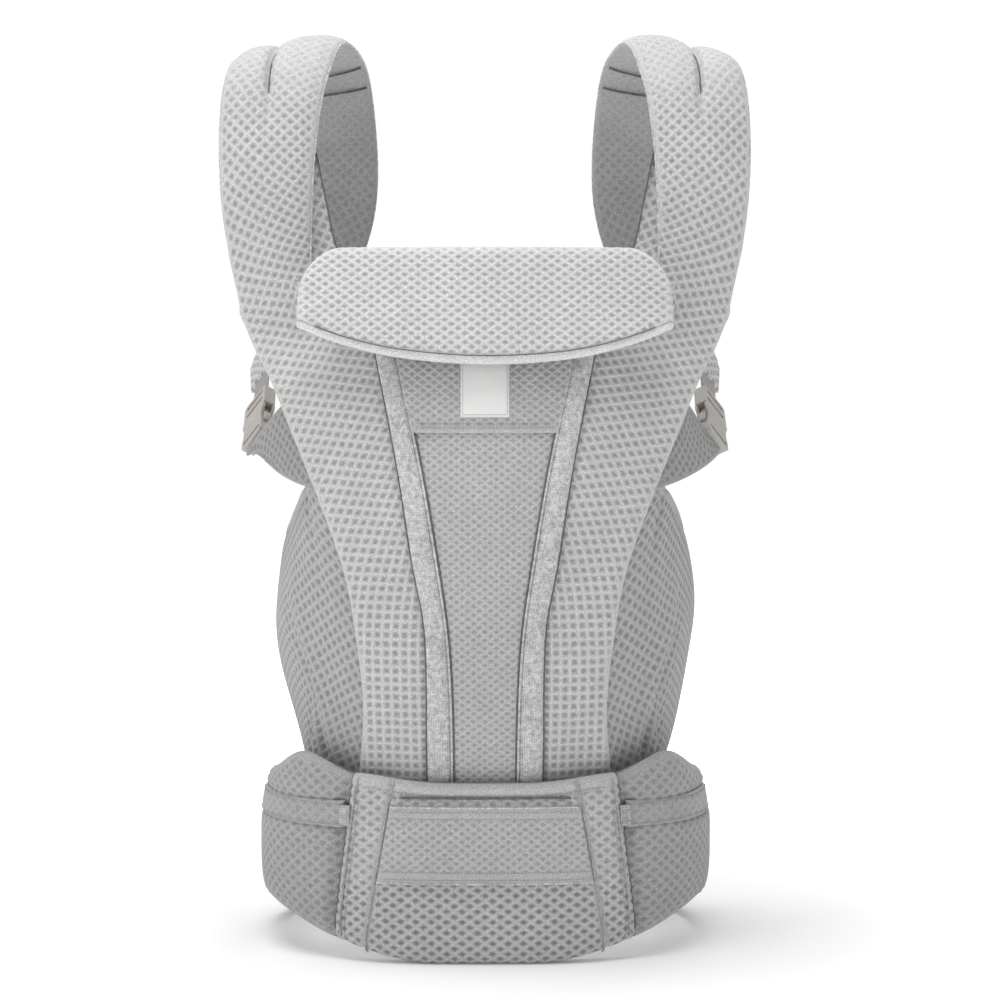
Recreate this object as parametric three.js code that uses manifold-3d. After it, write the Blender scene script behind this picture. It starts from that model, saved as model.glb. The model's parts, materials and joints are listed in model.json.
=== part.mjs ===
// Soft baby carrier, standing as it hangs on a wearer: a padded waistband, a bulging body panel with
// seat wings, a folding head support, two padded shoulder straps and four side-release buckles.
// Millimetres, +Z up, the front faces -Y. The origin is at the bottom centre of the bounding box.
import * as THREE from "three";
import { ParametricGeometry } from "three/addons/geometries/ParametricGeometry.js";
import { mergeVertices } from "three/addons/utils/BufferGeometryUtils.js";
import Module from "manifold-3d";

const wasm = await Module();
wasm.setup();

// ---------------------------------------------------------------- driving dimensions
const GAP = 0.4; // between touching pieces
const FOAM_GAP = 1.6; // between the thin edge of a foam core and its covers
const FOAM_SHARE = 0.52; // how much of the hollow between its covers a curved foam core fills
const FABRIC = 2.6; // thickness of one spacer mesh layer
const PANEL_BOTTOM = 144; // the body panel starts just above the waistband
const PANEL_TOP = 540;
const FLANK_TOP = 505; // where a flank runs into its shoulder strap
const POCKET_SLIT = 409; // lower edge of the upper yoke, open as a pocket
const PANEL_CURVE = 0.0019; // how fast the body panel bends back to each side, per mm
const LINING_BEHIND = 7; // the lining lies this far behind the front of the panel
const TUNNEL_THICKNESS = 4.6; // the padded strips beside the center panel
const YOKE_OVERLAP = 14; // how far the center panel runs up behind the yoke
const LABEL = { half: 18.5, bottom: 422, top: 468, thickness: 0.8 };

const BAND_THICKNESS = 21; // padded waistband
const BAND_HALF_WIDTH = 183;
const BAND_CENTER_Y = -21;
const BAND_FRONT = 129; // front depth of the oval that the waistband follows
const BAND_BACK = 193; // back depth of the same oval
const BAND_SQUARENESS = 2.5; // 2 is an ellipse, higher is squarer
const FRONT_ANGLE = 31; // half the front cover, in degrees round the oval
const WING_ANGLE = 115; // rear end of each padded wing
const FRONT_POCKET = { from: -18.6, to: 18.6, bottom: 64, top: 122, thickness: 1.8 };
const ADJUSTER_BAND = { from: 34.5, to: 86, bottom: 104, top: 124, thickness: 1.6 };
const ADJUSTER_TAB = { from: 31.2, to: 34, bottom: 106, top: 121, thickness: 2.2 };

const HEAD_HALF_WIDTH = 144;
const HEAD_BOTTOM = 460;
const HEAD_TOP = 547;
const HEAD_THICKNESS = 24;
const HEAD_CURVE = 0.0011;

const STRAP_WIDTH = 79;
const STRAP_THICKNESS = 17;
const STRAP_END_WIDTH = 40;
const STRAP_FOAM_END = 23 / 26; // the last stretch of a strap is hollow and takes the side webbing

const SIDE_WEBBING = 25;
const CHEST_WEBBING = 20;
const WAIST_WEBBING = 38;
const WEBBING_THICKNESS = 1.4;

const FABRIC_GREY = 0xbebebb;
const LINING_GREY = 0xa3a3a1;
const FOAM_GREY = 0x6f6f70;
const WEBBING_GREY = 0xb0aca6;
const PLASTIC_GREY = 0xb4aea7;
const BUTTON_GREY = 0x8d8881;
const LABEL_WHITE = 0xf2f0ee;

const carrier = new THREE.Group();

// ---------------------------------------------------------------- small helpers
const lerp = THREE.MathUtils.lerp;
const clamp = THREE.MathUtils.clamp;

// A smooth value along a list of [position, value] stations.
function track(stations) {
  return (at) => {
    const last = stations.length - 1;
    let i = 0;
    while (i < last - 1 && at > stations[i + 1][0]) i++;
    const [x0, y0] = stations[i];
    const [x1, y1] = stations[i + 1];
    const before = stations[Math.max(i - 1, 0)];
    const after = stations[Math.min(i + 2, last)];
    const t = clamp((at - x0) / (x1 - x0), 0, 1);
    const m0 = ((y1 - before[1]) / (x1 - before[0])) * (x1 - x0);
    const m1 = ((after[1] - y0) / (after[0] - x0)) * (x1 - x0);
    const t2 = t * t;
    const t3 = t2 * t;
    return y0 * (2 * t3 - 3 * t2 + 1) + m0 * (t3 - 2 * t2 + t) + y1 * (3 * t2 - 2 * t3) + m1 * (t3 - t2);
  };
}

// The unit normal of a surface point(a, b), by small differences.
function normalOf(surface, a, b) {
  const step = 1e-3;
  const a0 = clamp(a - step, 0, 1);
  const a1 = clamp(a + step, 0, 1);
  const b0 = clamp(b - step, 0, 1);
  const b1 = clamp(b + step, 0, 1);
  const across = surface(a1, b).sub(surface(a0, b));
  const along = surface(a, b1).sub(surface(a, b0));
  return across.cross(along).normalize();
}

// The same surface moved along its normal by distance(a, b).
function offset(surface, distance) {
  return (a, b) => surface(a, b).addScaledVector(normalOf(surface, a, b), distance(a, b));
}

// A closed sheet of even or varying thickness round a middle surface. Both ends are walled off.
function sheet(surface, thickness, across, along) {
  const thick = typeof thickness === "function" ? thickness : () => thickness;
  const slices = 2 * across + 2;
  const stacks = along + 2;
  const place = (u, v, target) => {
    const column = Math.round(u * slices) % slices;
    const row = Math.round(v * stacks);
    const front = column <= across;
    const a = (front ? column : 2 * across + 1 - column) / across;
    const b = clamp((row - 1) / along, 0, 1);
    const open = row === 0 || row === stacks ? 0 : 1;
    const half = (open * thick(a, b) * (front ? 1 : -1)) / 2;
    target.copy(surface(a, b)).addScaledVector(normalOf(surface, a, b), half);
  };
  return new ParametricGeometry(place, slices, stacks);
}

// A webbing or strap surface along a curve, with its outward normal given along the length.
function ribbonSurface(curve, outward, width) {
  return (a, b) => {
    const tangent = curve.getTangentAt(b);
    const normal = outward(b).addScaledVector(tangent, -outward(b).dot(tangent)).normalize();
    const side = tangent.clone().cross(normal);
    return curve.getPointAt(b).addScaledVector(side, (a - 0.5) * width(b));
  };
}

function solid(geometry) {
  const bare = geometry.clone();
  bare.deleteAttribute("normal");
  bare.deleteAttribute("uv");
  const merged = mergeVertices(bare, 1e-3);
  const vertProperties = new Float32Array(merged.attributes.position.array);
  const triVerts = new Uint32Array(merged.index.array);
  return new wasm.Manifold(new wasm.Mesh({ numProp: 3, vertProperties, triVerts }));
}

function geometryOf(manifold) {
  const mesh = manifold.getMesh();
  const geometry = new THREE.BufferGeometry();
  geometry.setAttribute("position", new THREE.BufferAttribute(new Float32Array(mesh.vertProperties), 3));
  geometry.setIndex(new THREE.BufferAttribute(new Uint32Array(mesh.triVerts), 1));
  return geometry;
}

function join(base, ...parts) {
  return geometryOf(parts.reduce((sum, part) => sum.add(solid(part)), solid(base)));
}

function cut(base, ...tools) {
  return geometryOf(tools.reduce((rest, tool) => rest.subtract(solid(tool)), solid(base)));
}

function box(x0, x1, y0, y1, z0, z1) {
  const geometry = new THREE.BoxGeometry(x1 - x0, y1 - y0, z1 - z0);
  return geometry.translate((x0 + x1) / 2, (y0 + y1) / 2, (z0 + z1) / 2);
}

function plate(shape, z0, z1, curveSegments = 3) {
  const settings = { depth: z1 - z0, bevelEnabled: false, curveSegments };
  return new THREE.ExtrudeGeometry(shape, settings).translate(0, 0, z0);
}

function add(name, geometry, color, roughness, parent = carrier) {
  const material = new THREE.MeshStandardMaterial({ color, roughness, metalness: 0 });
  const mesh = new THREE.Mesh(geometry, material);
  mesh.name = name;
  parent.add(mesh);
  return mesh;
}

const fabric = (name, geometry) => add(name, geometry, FABRIC_GREY, 0.95);
const lining = (name, geometry) => add(name, geometry, LINING_GREY, 0.95);
const foam = (name, geometry) => add(name, geometry, FOAM_GREY, 1);
const webbing = (name, geometry, parent) => add(name, geometry, WEBBING_GREY, 0.85, parent);
const plastic = (name, geometry, parent) => add(name, geometry, PLASTIC_GREY, 0.5, parent);

const sides = [
  { name: "left", sign: -1 },
  { name: "right", sign: 1 },
];

// ---------------------------------------------------------------- body panel
// Each track gives a depth or a half width at a height.
const panelDepth = track([
  [140, -131], [200, -156], [260, -168], [330, -165], [400, -150], [460, -131], [540, -103],
]);
const flankEdge = track([
  [144, 98], [200, 94], [260, 100], [305, 109], [356, 128], [404, 149], [448, 168], [505, 191],
]);
const tunnelEdge = track([
  [144, 44], [257, 45], [313, 55], [381, 66], [460, 82], [540, 98],
]);
const centerEdge = track([
  [144, 25], [208, 26], [257, 29], [313, 37], [381, 49], [460, 66], [540, 82],
]);
const liningEdge = track([
  [144, 82], [200, 79], [260, 85], [305, 94], [356, 113], [404, 132], [448, 150], [540, 120],
]);
const wingReach = track([
  [144, 151], [181, 159], [232, 169], [264, 171], [306, 166], [335, 159], [400, 144],
]);
const WING_BEHIND = 6.4; // a wing starts behind the flank, inside its edge
const WING_TUCK = 11;
const WING_TOP = 360; // at the flank; the top edge drops to the rear
const WING_REAR_TOP = 318;

const panelPoint = (x, z, behind) =>
  new THREE.Vector3(x, panelDepth(z) + PANEL_CURVE * x * x + behind, z);

// Part of the panel between two edges, each a function of height.
function panelSurface(bottom, top, innerEdge, outerEdge, behind) {
  return (a, b) => {
    const z = lerp(bottom, top, b);
    return panelPoint(lerp(innerEdge(z), outerEdge(z), a), z, behind);
  };
}

const mirrored = (edge, inset) => (z) => inset - edge(z);
const inward = (edge, inset) => (z) => edge(z) - inset;

function buildPanel() {
  const layer = FABRIC / 2;
  lining("panel_lining", sheet(
    panelSurface(PANEL_BOTTOM, PANEL_TOP, mirrored(liningEdge, 0), liningEdge, LINING_BEHIND),
    FABRIC, 8, 9));
  fabric("center_panel", sheet(
    panelSurface(PANEL_BOTTOM, POCKET_SLIT + YOKE_OVERLAP,
      mirrored(centerEdge, GAP), inward(centerEdge, GAP), layer),
    FABRIC, 3, 8));
  fabric("pocket_yoke", sheet(
    panelSurface(POCKET_SLIT, PANEL_TOP,
      mirrored(centerEdge, 1), inward(centerEdge, 1), -layer - 2 * GAP),
    FABRIC, 4, 4));
  const labelFront = -FABRIC - 3 * GAP - LABEL.thickness;
  add("label_tag", sheet(
    panelSurface(LABEL.bottom, LABEL.top, () => -LABEL.half, () => LABEL.half, labelFront),
    LABEL.thickness, 2, 2), LABEL_WHITE, 0.8);
  for (const { name, sign } of sides) {
    const inner = (z) => sign * (centerEdge(z) + GAP);
    const middle = (z) => sign * (tunnelEdge(z) - GAP);
    const outer = (z) => sign * (tunnelEdge(z) + GAP);
    const edge = (z) => sign * flankEdge(z);
    fabric("tunnel_strip_" + name, sheet(
      panelSurface(PANEL_BOTTOM, PANEL_TOP, inner, middle, 0), TUNNEL_THICKNESS, 2, 9));
    fabric("side_flank_" + name, sheet(
      panelSurface(PANEL_BOTTOM, FLANK_TOP, outer, edge, layer), FABRIC, 5, 9));
    fabric("seat_wing_" + name, sheet(wingSurface(sign), FABRIC, 9, 7));
  }
}

// A seat wing leaves from behind the flank and sweeps out and back round the child's thigh.
function wingSurface(sign) {
  return (a, b) => {
    const top = lerp(WING_TOP, WING_REAR_TOP, a ** 1.3);
    const z = lerp(PANEL_BOTTOM, top, b);
    const startX = flankEdge(z) - WING_TUCK;
    const reach = wingReach(z);
    const start = panelPoint(startX, z, WING_BEHIND);
    const sweep = new THREE.CubicBezierCurve3(
      start,
      start.clone().add(new THREE.Vector3(0.38 * (reach - startX) + 20, 26, 0)),
      new THREE.Vector3(reach + 9, -22, z),
      new THREE.Vector3(reach - 7, 66, z),
    );
    const point = sweep.getPoint(a);
    point.x *= sign;
    return point;
  };
}

// ---------------------------------------------------------------- waistband
// A point on the oval at an angle from the front centre, positive to the right, moved inwards.
function ovalPoint(degrees, z, inset) {
  const angle = THREE.MathUtils.degToRad(degrees);
  const power = 2 / BAND_SQUARENESS;
  const s = Math.sin(angle);
  const c = Math.cos(angle);
  const depth = c > 0 ? BAND_FRONT : BAND_BACK;
  return new THREE.Vector3(
    Math.sign(s) * (BAND_HALF_WIDTH - inset) * Math.abs(s) ** power,
    BAND_CENTER_Y - Math.sign(c) * (depth - inset) * Math.abs(c) ** power,
    z,
  );
}

// Heights of the lower and upper edge of the waistband at an angle from the front. The lower edge
// stands on the floor at the front and at the rear ends and arches up at the hips.
const lowerEdge = track([
  [0, 0], [12, 0], [25, 7], [40, 16], [60, 29], [75, 34], [90, 28], [100, 16], [110, 4], [115, 0],
]);
const upperEdge = track([
  [0, 138], [28, 140], [40, 148], [50, 152], [60, 147], [72, 138], [90, 128], [115, 96],
]);
const bandBottom = (degrees) => Math.max(lowerEdge(Math.abs(degrees)), 0);
const bandTop = (degrees) => upperEdge(Math.abs(degrees));

// A layer of the waistband between two angles, set in from its outer face and from its edges.
function bandSurface(from, to, inset, edge) {
  return (a, b) => {
    const angle = lerp(from, to, a);
    return ovalPoint(angle, lerp(bandBottom(angle) + edge, bandTop(angle) - edge, b), inset);
  };
}

// A patch laid on the outside of the waistband: angles, heights and thickness, on the given side.
function bandPatch({ from, to, bottom, top, thickness }, sign, across) {
  const inset = -GAP - thickness / 2;
  return sheet((a, b) => ovalPoint(sign * lerp(from, to, a), lerp(bottom, top, b), inset),
    thickness, across, 1);
}

const WEBBING_INSET = 11; // the waist webbing runs inside the padding
const WEBBING_HEIGHT = 50;

function buildWaistband() {
  fabric("waistband_front_cover", sheet(
    bandSurface(-FRONT_ANGLE, FRONT_ANGLE, FABRIC / 2, 0), FABRIC, 8, 2));
  lining("waistband_lining", sheet(
    bandSurface(-WING_ANGLE, WING_ANGLE, BAND_THICKNESS - FABRIC / 2, 0.8), FABRIC, 22, 2));
  foam("waistband_foam", sheet(
    bandSurface(-WING_ANGLE + 7, WING_ANGLE - 7, BAND_THICKNESS / 2, 4),
    BAND_THICKNESS - 2 * FABRIC - 2, 20, 2));
  fabric("waist_pocket_panel", bandPatch(FRONT_POCKET, 1, 6));
  for (const { name, sign } of sides) {
    fabric("waistband_wing_cover_" + name, sheet(
      bandSurface(sign * (FRONT_ANGLE + 0.4), sign * WING_ANGLE, FABRIC / 2, 0), FABRIC, 12, 2));
    webbing("seat_adjuster_band_" + name, bandPatch(ADJUSTER_BAND, sign, 8));
    webbing("seat_adjuster_tab_" + name, bandPatch(ADJUSTER_TAB, sign, 1));
  }
}

// ---------------------------------------------------------------- head support
// Folded down at rest: its middle surface hangs in front of the top of the panel.
function headSurface(a, b) {
  const z = lerp(HEAD_TOP, HEAD_BOTTOM, b);
  const x = lerp(HEAD_HALF_WIDTH, -HEAD_HALF_WIDTH, a);
  const round = 1 - 0.045 * (2 * b - 1) ** 2;
  const sag = 4 * (1 - (2 * a - 1) ** 2) * b;
  const y = -149 + 0.25 * (z - HEAD_BOTTOM) + HEAD_CURVE * x * x;
  return new THREE.Vector3(x * round, y, z + 3 - sag);
}

function headHalf(a, b) {
  const across = 1 - Math.abs(2 * a - 1) ** 6;
  const along = 1 - Math.abs(2 * b - 1) ** 6;
  return (HEAD_THICKNESS / 2 - FABRIC - FOAM_GAP) * Math.sqrt(Math.max(across * along, 0));
}

function buildHeadSupport() {
  const skin = (side) => offset(headSurface, (a, b) => side * (headHalf(a, b) + FOAM_GAP + FABRIC / 2));
  fabric("head_support_front_cover", sheet(skin(1), FABRIC, 10, 6));
  lining("head_support_back_cover", sheet(skin(-1), FABRIC, 10, 6));
  foam("head_support_foam", sheet(headSurface, (a, b) => 2 * headHalf(a, b) * FOAM_SHARE, 10, 6));
}

// ---------------------------------------------------------------- shoulder straps
// Route of a strap from the flank, over the shoulder, down the back and round to its side buckle.
const STRAP_ROUTE = [
  [166, -61, 512],
  [172, -55, 565],
  [173, -48, 635],
  [167, -26, 692],
  [153, 18, 719],
  [140, 66, 704],
  [134, 107, 658],
  [133, 122, 614],
  [137, 123, 586],
  [145, 122, 561],
  [156, 118, 538],
  [168, 110, 517],
  [179, 95, 494.5],
  [184, 77.7, 479.3],
  [185, 60.8, 465.2],
  [185, 44, 451],
];
const strapWidth = track([
  [0, 64], [0.15, 73], [0.3, STRAP_WIDTH], [0.7, STRAP_WIDTH], [0.85, 66], [1, STRAP_END_WIDTH],
]);

// Outward normals of the right strap along its length.
const STRAP_FACING = [
  [0, 0.3, -0.95, 0],
  [0.12, 0.12, -1, 0],
  [0.27, 0.05, -1, 0.15],
  [0.42, 0.12, 0.05, 1],
  [0.56, 0.05, 0.9, 0.45],
  [0.66, 0, 1, 0],
  [0.76, 0.1, 1, 0],
  [0.87, 0.75, 0.65, 0.1],
  [0.955, 0.8, -0.55, 0.2],
  [1, 0.8, -0.55, 0.2],
];

function keyedVector(keys, at) {
  let i = 0;
  while (i < keys.length - 2 && at > keys[i + 1][0]) i++;
  const [from, ...a] = keys[i];
  const [to, ...b] = keys[i + 1];
  const t = THREE.MathUtils.smoothstep(at, from, to);
  return new THREE.Vector3(...a).lerp(new THREE.Vector3(...b), t).normalize();
}

function strapCurve(sign) {
  const points = STRAP_ROUTE.map(([x, y, z]) => new THREE.Vector3(sign * x, y, z));
  return new THREE.CatmullRomCurve3(points, false, "centripetal");
}

function strapFacing(sign) {
  return (b) => {
    const normal = keyedVector(STRAP_FACING, b);
    normal.x *= sign;
    return normal;
  };
}

// Half thickness of the padding: round across the strap, thinner towards its far end.
function pad(a, b, half) {
  const across = Math.sqrt(Math.max(1 - Math.abs(2 * a - 1) ** 4, 0));
  return half * across * clamp((1 - b) * 7, 0.5, 1);
}

function buildStraps() {
  for (const { name, sign } of sides) {
    const middle = ribbonSurface(strapCurve(sign), strapFacing(sign), strapWidth);
    const foamHalf = (a, b) => pad(a, b, STRAP_THICKNESS / 2 - FABRIC - FOAM_GAP);
    const skin = (face) => offset(middle, (a, b) => face * (foamHalf(a, b) + FOAM_GAP + FABRIC / 2));
    const core = (a, b) => middle(a, b * STRAP_FOAM_END);
    fabric("shoulder_strap_cover_" + name, sheet(skin(1), FABRIC, 4, 26));
    lining("shoulder_strap_lining_" + name, sheet(skin(-1), FABRIC, 4, 26));
    const coreThickness = (a, b) => 2 * foamHalf(a, b * STRAP_FOAM_END) * FOAM_SHARE;
    foam("shoulder_strap_foam_" + name, sheet(core, coreThickness, 4, 23));
  }
}

// ---------------------------------------------------------------- side-release buckles
// Every buckle lies in its own frame: x across the webbing, y from the male end to the female end,
// z out of its face. The mouth of the female half is at y = 0.
const SIDE_BUCKLE = { webbing: SIDE_WEBBING, width: 35, thick: 11, female: 32, male: 22, prong: 21 };
const CHEST_BUCKLE = { webbing: CHEST_WEBBING, width: 30, thick: 9, female: 29, male: 19, prong: 19 };
const WAIST_BUCKLE = { webbing: WAIST_WEBBING, width: 50, thick: 13, female: 52, male: 28, prong: 28 };
const PLATE = 2.2; // thickness of each face of a female half
const PRONG_PLAY = 0.4; // between a prong and each face

function smoothOutline(points) {
  const shape = new THREE.Shape();
  shape.moveTo(points[0][0], points[0][1]);
  shape.splineThru(points.slice(1).map(([x, y]) => new THREE.Vector2(x, y)));
  return shape;
}

function femaleHalf(size, buttonY = 0) {
  const h = size.width / 2;
  const t = size.thick / 2;
  const inside = t - PLATE;
  const end = size.female;
  const shape = new THREE.Shape();
  shape.moveTo(-h + 1.5, 0);
  shape.lineTo(h - 1.5, 0);
  shape.quadraticCurveTo(h, 0, h, 1.5);
  shape.quadraticCurveTo(h, 6, h - 2.5, 8);
  shape.quadraticCurveTo(h - 4.5, size.prong * 0.7, h - 1.5, size.prong + 1);
  shape.lineTo(h - 1.5, end - 4);
  shape.quadraticCurveTo(h - 1.5, end, h - 5.5, end);
  shape.lineTo(5.5 - h, end);
  shape.quadraticCurveTo(1.5 - h, end, 1.5 - h, end - 4);
  shape.lineTo(1.5 - h, size.prong + 1);
  shape.quadraticCurveTo(4.5 - h, size.prong * 0.7, 2.5 - h, 8);
  shape.quadraticCurveTo(-h, 6, -h, 1.5);
  shape.quadraticCurveTo(-h, 0, -h + 1.5, 0);
  const slot = size.webbing / 2 + 0.6;
  const hollow = box(-h - 1, h + 1, -1, size.prong + 1.5, -inside, inside);
  const window = box(-slot, slot, end - 8.6, end - 5, -t - 1, t + 1);
  const tools = [hollow, window];
  if (buttonY) {
    const well = new THREE.CylinderGeometry(5.8, 5.8, t + 2, 16);
    tools.push(well.rotateX(Math.PI / 2).translate(0, buttonY, (t + 2) / 2 - 1));
  }
  const shell = cut(plate(shape, -t, t), ...tools);
  const rib = (x) => box(x - 0.6, x + 0.6, 1.5, size.prong + 3, -inside - 0.5, inside + 0.5);
  return join(shell, rib(4.1), rib(-4.1));
}

function maleHalf(size) {
  const h = size.width / 2;
  const t = size.thick / 2 - 0.4;
  const end = -size.male;
  const shape = new THREE.Shape();
  shape.moveTo(-h + 1, -0.4);
  shape.lineTo(h - 1, -0.4);
  shape.quadraticCurveTo(h, -0.4, h, -2);
  shape.lineTo(h - 0.5, end + 4);
  shape.quadraticCurveTo(h - 0.5, end, h - 4.5, end);
  shape.lineTo(4.5 - h, end);
  shape.quadraticCurveTo(0.5 - h, end, 0.5 - h, end + 4);
  shape.lineTo(-h, -2);
  shape.quadraticCurveTo(-h, -0.4, -h + 1, -0.4);
  const slot = size.webbing / 2 + 0.7;
  const pitch = (size.male - 6) / 4;
  const base = cut(
    plate(shape, -t, t),
    box(-slot, slot, end - 1, -6, -WEBBING_THICKNESS / 2 - 0.4, WEBBING_THICKNESS / 2 + 0.4),
    box(-slot, slot, end + 3, end + 3 + pitch, -t - 1, t + 1),
    box(-slot, slot, -6 - pitch, -6, -t - 1, t + 1),
  );
  const inside = size.thick / 2 - PLATE - PRONG_PLAY;
  return join(base, box(-3, 3, -2, size.prong * 0.72, -inside, inside));
}

function prong(size, side) {
  const h = size.width / 2;
  const long = size.prong;
  const inside = size.thick / 2 - PLATE - PRONG_PLAY;
  const shape = new THREE.Shape();
  shape.moveTo(side * (h - 9.6), 0.3);
  shape.lineTo(side * (h - 6), 0.3);
  shape.quadraticCurveTo(side * (h - 5.6), long * 0.36, side * (h - 1.2), long * 0.5);
  shape.quadraticCurveTo(side * (h + 0.2), long * 0.72, side * (h - 1.4), long * 0.88);
  shape.quadraticCurveTo(side * (h - 3), long, side * (h - 6.4), long);
  shape.quadraticCurveTo(side * (h - 8.4), long * 0.8, side * (h - 8.8), long * 0.5);
  shape.closePath();
  return plate(shape, -inside, inside, 2);
}

// The group of one buckle, placed with its length along `along` and its face towards `outward`.
function buckleFrame(mouth, along, outward) {
  const group = new THREE.Group();
  const y = along.clone().normalize();
  const z = outward.clone().addScaledVector(y, -outward.dot(y)).normalize();
  const x = y.clone().cross(z);
  group.matrixAutoUpdate = false;
  group.matrix.makeBasis(x, y, z).setPosition(mouth);
  carrier.add(group);
  return group;
}

function buildBuckle(name, size, group, buttonY = 0) {
  plastic(name + "_female", femaleHalf(size, buttonY), group);
  plastic(name + "_male", maleHalf(size), group);
  plastic(name + "_prong_a", prong(size, 1), group);
  plastic(name + "_prong_b", prong(size, -1), group);
}

const flatWebbing = (width, y0, y1, z, thickness = WEBBING_THICKNESS) =>
  box(-width / 2, width / 2, y0, y1, z - thickness / 2, z + thickness / 2);

const SIDE_REACH = 28; // webbing that shows between strap and buckle
const WEBBING_TUCK = 4; // webbing hidden inside the strap end
const WEBBING_STOP = -6.6; // webbing ends inside the male half, in the buckle's frame

function buildSideBuckles() {
  for (const { name, sign } of sides) {
    const curve = strapCurve(sign);
    const end = curve.getPointAt(1);
    const along = curve.getTangentAt(1);
    const outward = strapFacing(sign)(1);
    const mouth = end.clone().addScaledVector(along, SIDE_REACH + SIDE_BUCKLE.male);
    const group = buckleFrame(mouth, along, outward);
    buildBuckle("side_buckle_" + name, SIDE_BUCKLE, group);
    const start = -SIDE_BUCKLE.male - SIDE_REACH - WEBBING_TUCK;
    webbing("side_webbing_" + name, flatWebbing(SIDE_WEBBING, start, WEBBING_STOP, 0), group);
    buildSideTab(name, sign, mouth, along, outward);
  }
}

// The fabric tab between a side buckle's female half and the edge of the panel.
function buildSideTab(name, sign, mouth, along, outward) {
  const start = mouth.clone().addScaledVector(along, SIDE_BUCKLE.female + 2 * GAP);
  const curve = new THREE.CatmullRomCurve3([
    start,
    start.clone().addScaledVector(along, 14),
    new THREE.Vector3(sign * 165, -56, 382),
    new THREE.Vector3(sign * 146, -86, 380),
    new THREE.Vector3(sign * 137, -98, 380),
  ]);
  const facing = (b) => {
    const far = new THREE.Vector3(sign * 0.86, -0.45, -0.1);
    return outward.clone().lerp(far, THREE.MathUtils.smoothstep(b, 0.1, 0.8));
  };
  fabric("side_tab_" + name, sheet(ribbonSurface(curve, facing, () => SIDE_WEBBING), 2, 2, 6));
}

// ---------------------------------------------------------------- chest strap
const CHEST_HEIGHT = 546;
const RAIL_Y = 137.2; // a webbing rail stands off the back of each shoulder strap
const RAIL_X = 134;
const RAIL_BOTTOM = 526;
const RAIL_TOP = 612;
const CHEST_Y = 143.5;
const CHEST_TAIL = 34; // free end of the chest webbing past its rail
const SLIDER_HALF = 12; // half width of a slider on its rail

function buildChestStrap() {
  const group = buckleFrame(
    new THREE.Vector3(0, CHEST_Y, CHEST_HEIGHT), new THREE.Vector3(-1, 0, 0), new THREE.Vector3(0, 1, 0));
  buildBuckle("chest_buckle", CHEST_BUCKLE, group);
  webbing("chest_webbing_left",
    flatWebbing(CHEST_WEBBING, CHEST_BUCKLE.female + GAP, RAIL_X - SLIDER_HALF - 0.6, 0), group);
  webbing("chest_webbing_right",
    flatWebbing(CHEST_WEBBING, -RAIL_X - CHEST_TAIL, WEBBING_STOP, 0), group);
  for (const { name, sign } of sides) {
    const rail = box(-5, 5, -0.8, 0.8, RAIL_BOTTOM, RAIL_TOP).translate(sign * RAIL_X, RAIL_Y, 0);
    webbing("chest_rail_" + name, rail);
    const body = box(-SLIDER_HALF, SLIDER_HALF, -3.2, 9.4, -14, 14);
    const slot = WEBBING_THICKNESS / 2 + 0.5;
    const center = CHEST_Y - RAIL_Y;
    const half = CHEST_WEBBING / 2 + 0.7;
    const slider = cut(
      body,
      box(-5.6, 5.6, -1.4, 1.4, -20, 20),
      box(-3.4, 3.4, -4, 0, -20, 20),
      box(-20, 20, center - slot, center + slot, -half, half),
    );
    plastic("chest_slider_" + name, slider.translate(sign * RAIL_X, RAIL_Y, CHEST_HEIGHT));
  }
}

// ---------------------------------------------------------------- waist belt
const BELT_Y = BAND_CENTER_Y + BAND_BACK - WEBBING_INSET;
const WAIST_BUTTON_Y = 36.5;
const WAIST_TAIL = 112; // free end of the waist webbing, doubled back behind the belt
const KEEPER_X = 78;

function buildWaistBelt() {
  const belt = (from, to) => (a, b) =>
    ovalPoint(lerp(from, to, b), WEBBING_HEIGHT + (0.5 - a) * WAIST_WEBBING, WEBBING_INSET);
  const angleAt = (x) => {
    const s = (x / (BAND_HALF_WIDTH - WEBBING_INSET)) ** (BAND_SQUARENESS / 2);
    return 180 - THREE.MathUtils.radToDeg(Math.asin(s));
  };
  const wingEnd = WING_ANGLE - 4.5;
  webbing("waist_webbing_left",
    sheet(belt(-wingEnd, -angleAt(WAIST_BUCKLE.female + GAP)), WEBBING_THICKNESS, 1, 12));
  webbing("waist_webbing_right",
    sheet(belt(wingEnd, angleAt(KEEPER_X - 8)), WEBBING_THICKNESS, 1, 12));
  const group = buckleFrame(
    new THREE.Vector3(0, BELT_Y, WEBBING_HEIGHT), new THREE.Vector3(-1, 0, 0), new THREE.Vector3(0, 1, 0));
  buildBuckle("waist_buckle", WAIST_BUCKLE, group, WAIST_BUTTON_Y);
  const button = new THREE.CylinderGeometry(5.3, 5.3, 6.2, 16);
  add("waist_buckle_lock_button",
    button.rotateX(Math.PI / 2).translate(0, WAIST_BUTTON_Y, 4.6), BUTTON_GREY, 0.5, group);
  webbing("waist_webbing_tail", flatWebbing(WAIST_WEBBING, -WAIST_TAIL, WEBBING_STOP, 0), group);
  const sleeve = cut(
    box(-WAIST_WEBBING / 2 - 4, WAIST_WEBBING / 2 + 4, -10, 10, -6.4, 3.4),
    box(-WAIST_WEBBING / 2 - 1.2, WAIST_WEBBING / 2 + 1.2, -12, 12, -5, 2),
  );
  plastic("waist_webbing_keeper", sleeve.translate(0, -KEEPER_X, 0), group);
}

buildPanel();
buildWaistband();
buildHeadSupport();
buildStraps();
buildSideBuckles();
buildChestStrap();
buildWaistBelt();

export default carrier;
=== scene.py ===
# Soft baby carrier: padded waistband, mesh panel with seat wings, folded head support and shoulder straps.
import json
import math

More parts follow.
